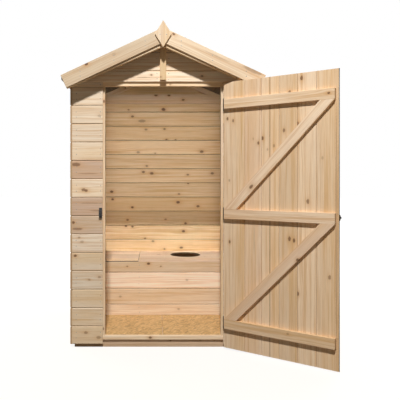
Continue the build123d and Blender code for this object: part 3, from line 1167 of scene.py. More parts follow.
def timbers(
    name: str,
    nodes: tuple[str, ...],
    finish: WoodFinish,
    finishes: Finishes,
    body: str = "building",
    **shape: object,
) -> None:
    """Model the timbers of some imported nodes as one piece.

    Args:
        name: The piece's name.
        nodes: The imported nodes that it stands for.
        finish: The piece's finish.
        finishes: The outhouse's finishes.
        body: The body that it moves with.
        shape: How every timber is made, as Boards.timber takes it.
    """
    made = Boards(name)
    for node in nodes:
        made.timber(node, **shape)
    made.publish(finish, finishes, body, nodes)


# Fixings


def nail_head(radius: float) -> Mesh:
    """Model the head of a driven nail, looking along +Z.

    Args:
        radius: Its radius.

    Returns:
        The head.
    """
    head = bmesh.new()
    bmesh.ops.create_cone(
        head,
        cap_ends=True,
        segments=10,
        radius1=radius,
        radius2=radius * 0.82,
        depth=radius * 0.24,
    )
    top = [face for face in head.faces if face.normal.z > FACING]
    poked = bmesh.ops.poke(head, faces=top)
    for vert in poked["verts"]:
        vert.co.z += radius * 0.06
    return head


def screw_head(radius: float) -> Mesh:
    """Model a round screw head with a slot, looking along +Z.

    Args:
        radius: Its radius.

    Returns:
        The head.
    """
    head = bmesh.new()
    bmesh.ops.create_uvsphere(head, u_segments=16, v_segments=10, radius=radius)
    bmesh.ops.scale(head, vec=(1.0, 1.0, 0.55), verts=head.verts)
    cut(head, Vector(), -Z)
    for side in (-1, 1):
        edge = Vector((0.0, side * radius * 0.14, 0.0))
        everything = [*head.verts, *head.edges, *head.faces]
        bmesh.ops.bisect_plane(head, geom=everything, dist=WELD, plane_co=edge, plane_no=Y * side)
    slot = [
        vert for vert in head.verts if abs(vert.co.y) < radius * 0.1 and vert.co.z > radius * 0.2
    ]
    bmesh.ops.translate(head, verts=slot, vec=(0.0, 0.0, -radius * 0.2))
    return head


class Fixings(Gathered):
    """Nail or screw heads joined into one mesh."""

    def __init__(self, name: str, head: Mesh) -> None:
        """Start with no heads.

        Args:
            name: Name of the object that they become.
            head: The head, looking along +Z.
        """
        super().__init__(name)
        self.head = head
        self.rng = random.Random(name)

    def stray(self, reach: float) -> float:
        """Choose how far a head is off its place, at most a given reach either way."""
        return self.rng.uniform(-reach, reach)

    def drive(self, at: Vector, outward: Vector) -> None:
        """Set one head on a face.

        Args:
            at: Where it sits.
            outward: The face's normal.
        """
        turned = outward.to_track_quat("Z", "Y").to_matrix().to_4x4()
        spin = Matrix.Rotation(self.rng.uniform(0, math.tau), 4, "Z")
        self.absorb(self.head, Matrix.Translation(at) @ turned @ spin)


def steel_bar(size: Vector, corner: float = 0.0, ease: float = 0.0004) -> Mesh:
    """Model a flat steel bar around the origin, with its thickness along Z.

    Args:
        size: Its length, width and thickness.
        corner: Radius of its corners in plan.
        ease: Radius of its other edges.

    Returns:
        The bar.
    """
    bar = bmesh.new()
    bmesh.ops.create_cube(bar, size=1.0)
    bmesh.ops.scale(bar, vec=size, verts=bar.verts)
    upright = [
        edge for edge in bar.edges if abs(edge.verts[0].co.z - edge.verts[1].co.z) > size.z / 2
    ]
    bevel(bar, upright, corner, 5)
    bevel(bar, corners(bar), ease)
    return bar


def steel_rod(radius: float, length: float, ease: float) -> Mesh:
    """Model a round rod around the origin, along Z.

    Args:
        radius: Its radius.
        length: Its length.
        ease: Radius of its ends.

    Returns:
        The rod.
    """
    rod = bmesh.new()
    bmesh.ops.create_cone(
        rod, cap_ends=True, segments=ROUND_STEPS, radius1=radius, radius2=radius, depth=length
    )
    bevel(rod, corners(rod), ease, 3)
    return rod


def steel_tube(
    inner: float, outer: float, length: float, angle: float = math.tau, ease: float = 0.0003
) -> Mesh:
    """Model a tube, or part of one, around the origin, along Z.

    Args:
        inner: Its inner radius.
        outer: Its outer radius.
        length: Its length.
        angle: How far round it goes, starting from +X.
        ease: Width of the chamfers on its edges.

    Returns:
        The tube.
    """
    tube = bmesh.new()
    upright = Matrix.Translation(
        Vector(((inner + outer) / 2, 0.0, 0.0))
    ) @ Matrix.Rotation(math.pi / 2, 4, "X")
    made = bmesh.ops.create_grid(tube, x_segments=1, y_segments=1, size=0.5)
    bmesh.ops.scale(tube, vec=(outer - inner, length, 1.0), verts=made["verts"])
    bmesh.ops.transform(tube, matrix=upright, verts=made["verts"])
    whole = angle > math.tau - WELD
    outline = [*tube.verts, *tube.edges, *([] if whole else tube.faces)]
    if whole:
        bmesh.ops.delete(tube, geom=tube.faces[:], context="FACES_ONLY")
    bmesh.ops.spin(
        tube, geom=outline, cent=Vector(), axis=Z, angle=angle, steps=ROUND_STEPS, use_merge=whole
    )
    bmesh.ops.remove_doubles(tube, verts=tube.verts, dist=WELD)
    bmesh.ops.recalc_face_normals(tube, faces=tube.faces)
    bevel(tube, corners(tube), ease)
    return tube


def basis(along: Vector, across: Vector, outward: Vector, at: Vector) -> Matrix:
    """Make the matrix that takes X, Y and Z to three directions at a point.

    Args:
        along: Where X goes.
        across: Where Y goes.
        outward: Where Z goes.
        at: Where the origin goes.

    Returns:
        The matrix.
    """
    turned = Matrix((along, across, outward)).transposed().to_4x4()
    return Matrix.Translation(at) @ turned


# Sub-assemblies

FRONT_AXES = Axes(X, Z, -Y)
BACK_AXES = Axes(X, Z, Y)


@dataclass
class Base:
    """Bearers, joists, the strand-board floor and the sill under the doorway."""

    body: str = "building"
    ease: float = 0.002
    strip_thickness: float = 0.008
    strip_ease: float = 0.0008
    sheet_gap: float = 0.001
    sheet_joint: float = 0.004
    sheet_ease: float = 0.0015
    sill_marks: Marks = ((-0.08, 0.061, 0.006, 0.9),)

    def build(self, finishes: Finishes) -> None:
        """Model the base.

        Args:
            finishes: The outhouse's finishes.
        """
        bearers = Boards("bearer_timbers")
        bearers.timber("bearers", tones=(Tone.PEACH, Tone.PEACH, Tone.TAN), ease=self.ease)
        bearers.timber("floor_joists", facing=Z, tones=(Tone.CREAM, Tone.TAN), ease=self.ease)
        sill_low, sill_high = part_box("door_sill")
        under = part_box("bearers")[1].z
        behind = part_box("floor_joists")[0].y
        size = Vector((sill_high.x - sill_low.x, self.strip_thickness, sill_low.z - under))
        strip = steel_bar(size, ease=self.strip_ease)
        middle = Vector((0.0, behind - self.strip_thickness / 2, (sill_low.z + under) / 2))
        bmesh.ops.translate(strip, verts=strip.verts, vec=middle)
        bearers.add(strip, FRONT_AXES, Tone.PALE)
        bearers.publish(finishes.sawn, finishes, self.body, ("bearers", "floor_joists"))
        timbers(
            "door_sill_timber",
            ("door_sill",),
            finishes.planed,
            finishes,
            tones=(Tone.BRIGHT,),
            marks=front_marks(*self.sill_marks),
            ease=self.ease,
        )
        sheet_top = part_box("floor_sheets")[1].z
        sheets = Gathered("floor_strand_boards")
        for solid in solids_of("floor_sheets"):
            merge_flat(solid)
            joint = [
                edge
                for edge in corners(solid)
                if all(
                    abs(vert.co.x) < self.sheet_gap and vert.co.z > sheet_top - WELD
                    for vert in edge.verts
                )
            ]
            bevel(solid, joint, self.sheet_joint)
            bevel(solid, corners(solid), self.sheet_ease)
            sheets.absorb(solid)
            solid.free()
        sheets.publish(finishes.strand, finishes, self.body, ("floor_sheets",))


@dataclass
class Wall:
    """One face of tongue-and-groove cladding and the nails that hold it."""

    node: str
    axes: Axes
    joints: list[float]
    face: float
    nail_columns: Callable[[float], Sequence[float]]
    tones: tuple[Tone, ...] = ()
    marks: list[Mark] = field(default_factory=list)
    joint: Joint = MATCHED
    nail_offset: float = 0.017
    narrow_board: float = 0.06

    def build(self, finish: WoodFinish, finishes: Finishes, nails: Fixings) -> None:
        """Model the boards and drive the nails.

        Args:
            finish: The boards' finish.
            finishes: The outhouse's finishes.
            nails: Where the nail heads go.
        """
        boards = Boards(f"{self.node}_boards")
        courses = boards.lay(self.node, self.axes, self.joints, self.joint, self.tones, self.marks)
        boards.publish(finish, finishes, "building", (self.node,))
        for low, high in courses:
            middle = (low + high) / 2
            wide = high - low > self.narrow_board
            offsets = (-self.nail_offset, self.nail_offset) if wide else (0.0,)
            for column in self.nail_columns(middle):
                for offset in offsets:
                    place = column + nails.stray(STRAY_ALONG)
                    height = middle + offset + nails.stray(STRAY_ACROSS)
                    at = self.axes.along * place + self.axes.across * height
                    nails.drive(at + self.axes.outward * self.face, self.axes.outward)


@dataclass
class Walls:
    """Cladding of the four sides and of the gables."""

    coverage: float = 0.1151
    first_joint: float = 0.1352
    back_coverage: float = 0.11489
    back_first_joint: float = 0.1083
    gable_joint: float = 0.0695
    nail_radius: float = 0.0028
    edge_nail: float = 0.014
    corner_inset: float = 0.012
    side_nail: float = 0.026
    rafter_nail: float = 0.045
    king_post_nail: float = 0.036
    least_half: float = 0.06
    below_eaves: float = 0.02
    roof_pitch_degrees: float = 23.5
    panel_tones: tuple[Tone, ...] = (
        Tone.HONEY, Tone.TAN, Tone.TAN, Tone.TAN, Tone.TAN, Tone.CREAM, Tone.ROSY, Tone.ROSY,
        Tone.PALE, Tone.ROSY, Tone.CREAM, Tone.CREAM, Tone.CREAM, Tone.PALE, Tone.PALE,
    )
    back_tones: tuple[Tone, ...] = (
        Tone.TAN, Tone.CREAM, Tone.TAN, Tone.PEACH, Tone.PALE, Tone.PALE, Tone.AMBER, Tone.HONEY,
        Tone.TAN, Tone.CREAM, Tone.CREAM, Tone.PALE, Tone.CREAM, Tone.TAN, Tone.TAN, Tone.TAN,
        Tone.TAN,
    )
    panel_marks: Marks = (
        (-0.398, 1.452, 0.007, 0.30),
        (-0.545, 1.147, 0.010, 0.75, 0.030),
        (-0.470, 1.090, 0.004, 0.35, 0.060),
        (-0.497, 0.989, 0.008, 0.75),
        (-0.482, 0.984, 0.007, 0.85),
        (-0.450, 0.905, 0.003, 0.40, 0.070),
        (-0.410, 0.858, 0.004, 0.40, 0.050),
        (-0.563, 0.784, 0.007, 0.90),
        (-0.535, 0.744, 0.007, 0.60, 0.032),
        (-0.525, 0.690, 0.005, 0.45),
        (-0.507, 0.664, 0.007, 0.35),
        (-0.549, 0.576, 0.006, 1.00),
        (-0.461, 0.426, 0.005, 0.45),
        (-0.398, 0.443, 0.006, 0.50),
        (-0.482, 0.096, 0.007, 0.55),
        (-0.403, 0.065, 0.008, 0.50),
    )
    gable_marks: Marks = (
        (-0.073, 1.707, 0.004, 0.80),
        (-0.121, 1.692, 0.0012, 0.85, 0.050),
        (0.245, 1.700, 0.005, 0.60),
    )
    back_marks: Marks = (
        (0.019, 1.623, 0.010, 0.95),
        (-0.265, 1.620, 0.005, 0.60),
        (-0.233, 1.567, 0.007, 0.75),
        (-0.156, 1.529, 0.010, 0.45, 0.030),
        (-0.123, 1.460, 0.007, 0.55),
        (0.027, 1.464, 0.006, 0.70),
        (0.043, 1.379, 0.005, 0.75),
        (0.117, 1.375, 0.005, 0.75),
        (0.329, 1.280, 0.009, 0.80),
        (-0.186, 1.275, 0.008, 0.45),
        (-0.048, 1.267, 0.004, 0.50),
        (-0.117, 1.164, 0.006, 0.65),
        (-0.145, 1.115, 0.008, 0.75),
        (-0.077, 1.104, 0.009, 0.80),
        (0.216, 1.093, 0.006, 0.70),
        (0.415, 1.104, 0.008, 0.70),
        (0.219, 1.022, 0.005, 0.80),
        (-0.402, 0.955, 0.008, 0.95),
        (0.145, 0.936, 0.006, 0.60),
        (-0.394, 0.893, 0.007, 0.95),
        (0.137, 0.869, 0.009, 0.95),
        (-0.234, 0.828, 0.007, 0.95),
        (0.299, 0.837, 0.008, 0.85),
        (-0.273, 0.726, 0.007, 0.75),
        (0.198, 0.698, 0.007, 0.95),
        (0.036, 0.730, 0.006, 0.65),
        (-0.286, 0.676, 0.006, 0.85),
        (-0.233, 0.671, 0.006, 0.85),
        (0.181, 0.634, 0.008, 0.95),
        (-0.131, 0.575, 0.006, 0.70),
        (-0.066, 0.553, 0.007, 0.55),
        (0.163, 0.501, 0.008, 0.85),
        (0.027, 0.489, 0.005, 0.75),
    )

    def rows(self, first: float, pitch: float, top: float) -> list[float]:
        """List the joints of one face.

        Args:
            first: The lowest joint.
            pitch: How far apart the joints are.
            top: The face's top.

        Returns:
            The heights of its joints.
        """
        return [first + pitch * step for step in range(int((top - first) / pitch) + 1)]

    def build(self, finishes: Finishes) -> None:
        """Model the cladding.

        Args:
            finishes: The outhouse's finishes.
        """
        left_low, left_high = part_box("front_cladding_left")
        side_low, side_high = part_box("side_cladding_right")
        gable_low, gable_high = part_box("front_gable_cladding")
        back_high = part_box("back_cladding")[1]
        first_column = left_low.x + self.edge_nail + self.corner_inset
        panel_columns = (first_column, left_high.x - self.edge_nail)
        side_columns = (side_low.y + self.side_nail, side_high.y - self.side_nail)
        corner_columns = (-left_low.x - self.edge_nail, left_low.x + self.edge_nail)
        slope = math.tan(math.radians(self.roof_pitch_degrees))

        def under_slope(height: float) -> tuple[float, ...]:
            """Columns of nails along the rafters and beside the king post."""
            on_rafter = (gable_high.z - height) / slope - self.rafter_nail
            half = min(on_rafter, gable_high.x - self.edge_nail)
            columns = (self.king_post_nail, half) if half > self.least_half else ()
            return tuple(sign * x for sign in (-1, 1) for x in columns)

        def on_the_back(height: float) -> tuple[float, ...]:
            """Columns of nails on the back, at its corners below the eaves."""
            if height < side_high.z - self.below_eaves:
                return corner_columns
            return under_slope(height)

        rows = self.rows(self.first_joint, self.coverage, side_high.z)
        nails = Fixings("cladding_nails", nail_head(self.nail_radius))
        faces = (
            Wall(
                "front_cladding_left",
                FRONT_AXES,
                rows,
                -left_low.y,
                lambda _: panel_columns,
                self.panel_tones,
                front_marks(*self.panel_marks),
            ),
            Wall(
                "front_cladding_right",
                FRONT_AXES,
                rows,
                -left_low.y,
                lambda _: [-x for x in panel_columns],
            ),
            Wall(
                "front_gable_cladding",
                FRONT_AXES,
                self.rows(gable_low.z + self.gable_joint, self.coverage, gable_high.z),
                -gable_low.y,
                under_slope,
                (Tone.BRIGHT, Tone.BRIGHT, Tone.PALE),
                front_marks(*self.gable_marks),
            ),
            Wall("side_cladding_left", Axes(Y, Z, -X), rows, side_high.x, lambda _: side_columns),
            Wall("side_cladding_right", Axes(Y, Z, X), rows, side_high.x, lambda _: side_columns),
            Wall(
                "back_cladding",
                BACK_AXES,
                self.rows(self.back_first_joint, self.back_coverage, back_high.z),
                back_high.y,
                on_the_back,
                self.back_tones,
                front_marks(*self.back_marks),
                BACKED,
            ),
        )
        for face in faces:
            finish = finishes.back if face.node == "back_cladding" else finishes.cladding
            face.build(finish, finishes, nails)
        nails.publish(finishes.zinc, finishes, "building")


@dataclass
class Framing:
    """Posts, rails and rafters inside the cladding."""

    rail_ease: float = 0.002
    king_post_ease: float = 0.0018
    rail_marks: Marks = (
        (-0.042, 1.735, 0.008, 0.9),
        (0.063, 1.734, 0.007, 0.9),
        (0.177, 1.697, 0.007, 0.8),
    )

    def build(self, finishes: Finishes) -> None:
        """Model the frame.

        Args:
            finishes: The outhouse's finishes.
        """
        everyday = (Tone.CREAM, Tone.TAN, Tone.CREAM, Tone.PEACH)
        posts = ("corner_posts", "door_post_left", "door_post_right")
        timbers("wall_posts", posts, finishes.planed, finishes, tones=everyday)
        rails = Boards("wall_rails")
        nodes = (
            "door_head_rail",
            "bottom_rails",
            "side_rails_left",
            "side_rails_right",
            "gable_rafters",
        )
        for node in nodes:
            rails.timber(node, tones=(Tone.BRIGHT,) if node == "door_head_rail" else everyday)
        rails.publish(finishes.planed, finishes, "building", nodes)
        timbers(
            "back_rail_timber",
            ("back_head_rail",),
            finishes.planed,
            finishes,
            tones=(Tone.TAN,),
            marks=front_marks(*self.rail_marks),
            ease=self.rail_ease,
        )
        timbers(
            "king_post_timber",
            ("king_post",),
            finishes.planed,
            finishes,
            tones=(Tone.HONEY,),
            ease=self.king_post_ease,
        )


@dataclass
class Roof:
    """Boarded deck under felt, with purlins, rake boards, bargeboards and finials."""

    pitch_degrees: float = 23.5
    coverage: float = 0.115
    deck_joints: int = 6
    ease: float = 0.002
    barge_ease: float = 0.0022
    felt: float = 0.002
    felt_steps: int = 44
    slope_steps: int = 12
    ridge_start: float = 0.0012
    edge_clear: float = 0.0008
    deck_clear: float = 0.0004
    eaves_turn: float = 0.024
    turn_clear: float = 0.0012
    turn_parts: tuple[float, ...] = (0.1, 0.5, 1.0)
    ripple: float = 0.00022
    ripple_rates: tuple[float, float] = (5, 19)
    ripple_count: int = 4
    ripple_shift: float = 1.7
    cap_half: float = 0.13
    cap_steps: int = 6
    cap_layers: float = 1.25
    cap_clear: float = 0.0016
    cap_flat: float = 0.004
    clout_radius: float = 0.0045
    clout_pitch: float = 0.075
    clout_edge: float = 0.02
    clout_inset: float = 0.015
    clout_lift: float = 0.0009
    layers_at_cap: float = 2.6
    layers_at_eaves: float = 1.6
    nail_radius: float = 0.003
    barge_steeper_degrees: float = 1.5
    barge_nails: tuple[float, ...] = (0.506, 0.300, 0.110)
    barge_nail_drops: tuple[float, ...] = (0.032, 0.062)
    finial_nail: tuple[float, float] = (0.020, 0.087)
    barge_marks: Marks = (
        (-0.468, 1.756, 0.007, 1.0),
        (-0.300, 1.815, 0.008, 0.22),
        (0.064, 1.938, 0.006, 0.8),
        (0.545, 1.716, 0.010, 0.45, 0.060),
        (0.330, 1.800, 0.004, 0.25, 0.080),
    )

    def profile(
        self, points: Sequence[tuple[float, float]], low: float, high: float, name: str
    ) -> Gathered:
        """Model a felt sheet from its section.

        Args:
            points: The section in x and z, on the sheet's underside.
            low: Where the sheet starts along Y.
            high: Where it ends.
            name: Name of the object that it becomes.

        Returns:
            The sheet.
        """
        sheet = bmesh.new()
        last = len(points) - 1
        bmesh.ops.create_grid(sheet, x_segments=last, y_segments=self.felt_steps, size=0.5)
        rng = random.Random(name)
        waves = [
            (rng.uniform(*self.ripple_rates), rng.uniform(0, math.tau))
            for _ in range(self.ripple_count)
        ]
        for vert in sheet.verts:
            order = round((vert.co.x + 0.5) * last)
            y = low + (vert.co.y + 0.5) * (high - low)
            x, z = points[order]
            shift = order * self.ripple_shift
            wave = sum(math.sin(y * rate + shift + start) for rate, start in waves)
            vert.co = (x, y, z + self.ripple * (wave + self.ripple_count))
        bmesh.ops.recalc_face_normals(sheet, faces=sheet.faces)
        if sum(face.normal.z for face in sheet.faces) > 0:
            bmesh.ops.reverse_faces(sheet, faces=sheet.faces)
        bmesh.ops.solidify(sheet, geom=sheet.faces[:], thickness=self.felt)
        made = Gathered(name)
        made.absorb(sheet)
        sheet.free()
        return made

    def build_felt(self, finishes: Finishes) -> None:
        """Model the felt and its clout nails.

        Args:
            finishes: The outhouse's finishes.
        """
        low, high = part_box("roof_deck_right")
        pitch = math.radians(self.pitch_degrees)
        slope = math.tan(pitch)
        clouts = Fixings("felt_clouts", nail_head(self.clout_radius))
        reach = high.x + self.edge_clear - self.ridge_start
        steps = [
            self.ridge_start + reach * step / self.slope_steps
            for step in range(self.slope_steps + 1)
        ]
        for word, side in (("left", -1), ("right", 1)):
            slope_points = [(side * x, high.z - x * slope + self.deck_clear) for x in steps]
            corner = slope_points[-1]
            drop = [
                (corner[0] + side * self.turn_clear, corner[1] - self.eaves_turn * part)
                for part in self.turn_parts
            ]
            sheet = self.profile([*slope_points, *drop], low.y, high.y, f"felt_sheet_{word}")
            sheet.publish(finishes.felt, finishes, "building", (f"roof_felt_{word}",), smooth=True)
            out = Vector((side * math.sin(pitch), 0.0, math.cos(pitch)))
            count = int((high.y - low.y - 2 * self.clout_edge) / self.clout_pitch)
            for step in range(count + 1):
                y = low.y + self.clout_edge + step * self.clout_pitch
                for x in (self.cap_half - self.clout_inset, high.x - self.clout_edge):
                    layers = self.layers_at_cap if x < self.cap_half else self.layers_at_eaves
                    lift = self.felt * layers + self.clout_lift
                    surface = Vector((side * x, y, high.z - x * slope))
                    clouts.drive(surface + out * lift, out)
        cap_places = [
            self.cap_half * step / self.cap_steps
            for step in range(-self.cap_steps, self.cap_steps + 1)
        ]
        top = high.z + (self.felt * self.cap_layers + self.cap_clear)
        section = [(x, top - max(abs(x), self.cap_flat) * slope) for x in cap_places]
        cap = self.profile(section, low.y, high.y, "felt_ridge_cap")
        cap.publish(finishes.felt, finishes, "building", smooth=True)
        clouts.publish(finishes.zinc, finishes, "building")

    def build(self, finishes: Finishes) -> None:
        """Model the roof.

        Args:
            finishes: The outhouse's finishes.
        """
        pitch = math.radians(self.pitch_degrees)
        for word, side in (("left", -1), ("right", 1)):
            down = Vector((side * math.cos(pitch), 0.0, -math.sin(pitch)))
            under = Vector((-side * math.sin(pitch), 0.0, -math.cos(pitch)))
            deck = Boards(f"roof_deck_{word}_boards")
            ridge = Vector((0.0, 0.0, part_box(f"roof_deck_{word}")[1].z))
            steps = range(1, self.deck_joints + 1)
            joints = [ridge.dot(down) + self.coverage * step for step in steps]
            deck.lay(f"roof_deck_{word}", Axes(Y, down, under), joints)
            deck.publish(finishes.deck, finishes, "building", (f"roof_deck_{word}",))
        purlins = ("roof_purlins_left", "roof_purlins_right")
        timbers("roof_purlin_timbers", purlins, finishes.planed, finishes, facing=-Z)
        timbers(
            "rake_board_timbers",
            ("rake_boards",),
            finishes.planed,
            finishes,
            tones=(Tone.CREAM, Tone.TAN),
            ease=self.ease,
        )
        barges = Boards("bargeboard_timbers")
        marks = front_marks(*self.barge_marks)
        barges.timber(
            "bargeboards_front", tones=(Tone.PALE, Tone.DULL), marks=marks, ease=self.barge_ease
        )
        barges.timber(
            "bargeboards_back", facing=Y, tones=(Tone.CREAM, Tone.TAN), ease=self.barge_ease
        )
        barges.publish(
            finishes.planed, finishes, "building", ("bargeboards_front", "bargeboards_back")
        )
        timbers(
            "finial_boards",
            ("finials",),
            finishes.planed,
            finishes,
            tones=(Tone.PALE, Tone.CREAM),
            along=Z,
            ease=self.ease,
        )
        self.nail_boards(finishes)
        self.build_felt(finishes)

    def nail_boards(self, finishes: Finishes) -> None:
        """Drive the nails of the bargeboards and the front finial.

        Args:
            finishes: The outhouse's finishes.
        """
        nails = Fixings("bargeboard_nails", nail_head(self.nail_radius))
        barge_low, barge_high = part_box("bargeboards_front")
        finial_low, finial_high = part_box("finials")
        slope = math.tan(math.radians(self.pitch_degrees + self.barge_steeper_degrees))
        finial_x, finial_drop = self.finial_nail
        for look, face in ((-1, barge_low.y), (1, -barge_low.y)):
            out = Y * look
            for side in (-1, 1):
                if look < 0:
                    at = Vector((side * finial_x, finial_low.y, finial_high.z - finial_drop))
                    nails.drive(at, out)
                for x in self.barge_nails:
                    top = barge_high.z - x * slope
                    for drop in self.barge_nail_drops:
                        nails.drive(Vector((side * x, face, top - drop)), out)
        nails.publish(finishes.zinc, finishes, "building")


@dataclass
class Bench:
    """Boarded bench front, the seat with its oval hole, the loose lid and the rails."""

    front_joints: tuple[float, ...] = (0.1535, 0.2673, 0.3841)
    top_coverage: float = 0.115
    top_joints: int = 4
    rim: float = 0.0035
    slant: float = 0.0001
    hole_margin: float = 0.05
    hole_facet: float = 0.06
    lid_ease: float = 0.006
    nail_radius: float = 0.0026
    nail_shares: tuple[float, float] = (0.28, 0.72)
    edge_nail: float = 0.014
    upright_x: float = -0.1645
    seat_front_nail: float = 0.026
    seat_nails: tuple[float, ...] = (-0.150, 0.02, 0.19, 0.36, 0.53)
    front_marks: Marks = (
        (-0.097, 0.447, 0.007, 1.0),
        (-0.250, 0.427, 0.004, 0.6),
        (-0.008, 0.428, 0.004, 0.6),
        (0.180, 0.330, 0.006, 0.3),
        (-0.300, 0.210, 0.006, 0.35),
        (0.120, 0.120, 0.006, 0.35),
    )

    def build(self, finishes: Finishes) -> None:
        """Model the bench.

        Args:
            finishes: The outhouse's finishes.
        """
        front = Boards("bench_front_boards")
        tones = (Tone.CREAM, Tone.TAN, Tone.BRIGHT, Tone.TAN)
        front.lay(
            "bench_front",
            FRONT_AXES,
            self.front_joints,
            LINING,
            tones,
            front_marks(*self.front_marks),
        )
        front.publish(finishes.lining, finishes, "building", ("bench_front",))

        seat_low, seat_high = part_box("bench_seat")
        joints = [seat_low.y + self.top_coverage * step for step in range(1, self.top_joints + 1)]
        top_axes = Axes(X, Y, Z)

        def round_the_hole(board: Mesh) -> None:
            """Round the rim of the seat hole and mark its wall, where a board has part of it."""
            merge_flat(board)
            rim = []
            for edge in corners(board):
                line = edge.verts[1].co - edge.verts[0].co
                slanted = min(abs(line.x), abs(line.y)) > self.slant
                if slanted and abs(line.z) < WELD and edge.verts[0].co.z > seat_high.z - WELD:
                    rim.append(edge)
            bevel(board, rim, self.rim, 3)
            for face in board.faces:
                x = face.calc_center_median().x
                inside = seat_low.x + self.hole_margin < x < seat_high.x - self.hole_margin
                short = max(edge.calc_length() for edge in face.edges) < self.hole_facet
                # The hole's wall is marked for painted shade: the dark end colour and half
                # near-black.
                if inside and short and abs(face.normal.z) < 0.5:
                    face.material_index = PaintedShade.RIM

        seat = Boards("bench_seat_boards")
        seat.lay(
            "bench_seat",
            top_axes,
            joints,
            CLOSE,
            (Tone.PEACH, Tone.CREAM),
            last_touch=round_the_hole,
        )
        seat.publish(finishes.lining, finishes, "building", ("bench_seat",))
        lid_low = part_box("bench_lid")[0]

        def ease_and_shade_below(board: Mesh) -> None:
            """Ease the lid's lower front edge, and paint the eased face near-black as shade."""
            merge_flat(board)
            lower = [
                edge
                for edge in corners(board)
                if all(
                    vert.co.y < lid_low.y + WELD and vert.co.z < lid_low.z + WELD
                    for vert in edge.verts
                )
            ]
            bevel(board, lower, self.lid_ease)
            # The eased face takes near-black painted shade, for the dark line under the lid.
            for face in board.faces:
                slopes_down = max(face.normal.y, face.normal.z) < -0.3
                if slopes_down:
                    face.material_index = PaintedShade.DEEP

        lid = Boards("bench_lid_boards")
        lid_tones = (Tone.BRIGHT, Tone.PALE, Tone.CREAM)
        lid.lay("bench_lid", top_axes, joints, CLOSE, lid_tones, last_touch=ease_and_shade_below)
        lid.publish(finishes.lining, finishes, "lid", ("bench_lid",))

        rails = ("bench_rails", "bench_side_cleats", "bench_cross_rail", "bench_uprights")
        rail_tones = (Tone.CREAM, Tone.TAN)
        timbers("bench_rail_timbers", rails, finishes.planed, finishes, tones=rail_tones)

        nails = Fixings("bench_nails", nail_head(self.nail_radius))
        low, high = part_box("bench_front")
        limits = (low.z, *self.front_joints, high.z)
        for start, end in zip(limits, limits[1:]):
            for share in self.nail_shares:
                for x in (low.x + self.edge_nail, self.upright_x, high.x - self.edge_nail):
                    height = start + (end - start) * share + nails.stray(STRAY_ACROSS)
                    nails.drive(Vector((x + nails.stray(STRAY_ALONG), low.y, height)), -Y)
        for x in self.seat_nails:
            nails.drive(Vector((x, seat_low.y + self.seat_front_nail, seat_high.z)), Z)
            nails.drive(Vector((x, seat_high.y - self.edge_nail, seat_high.z)), Z)
        nails.publish(finishes.zinc, finishes, "building")


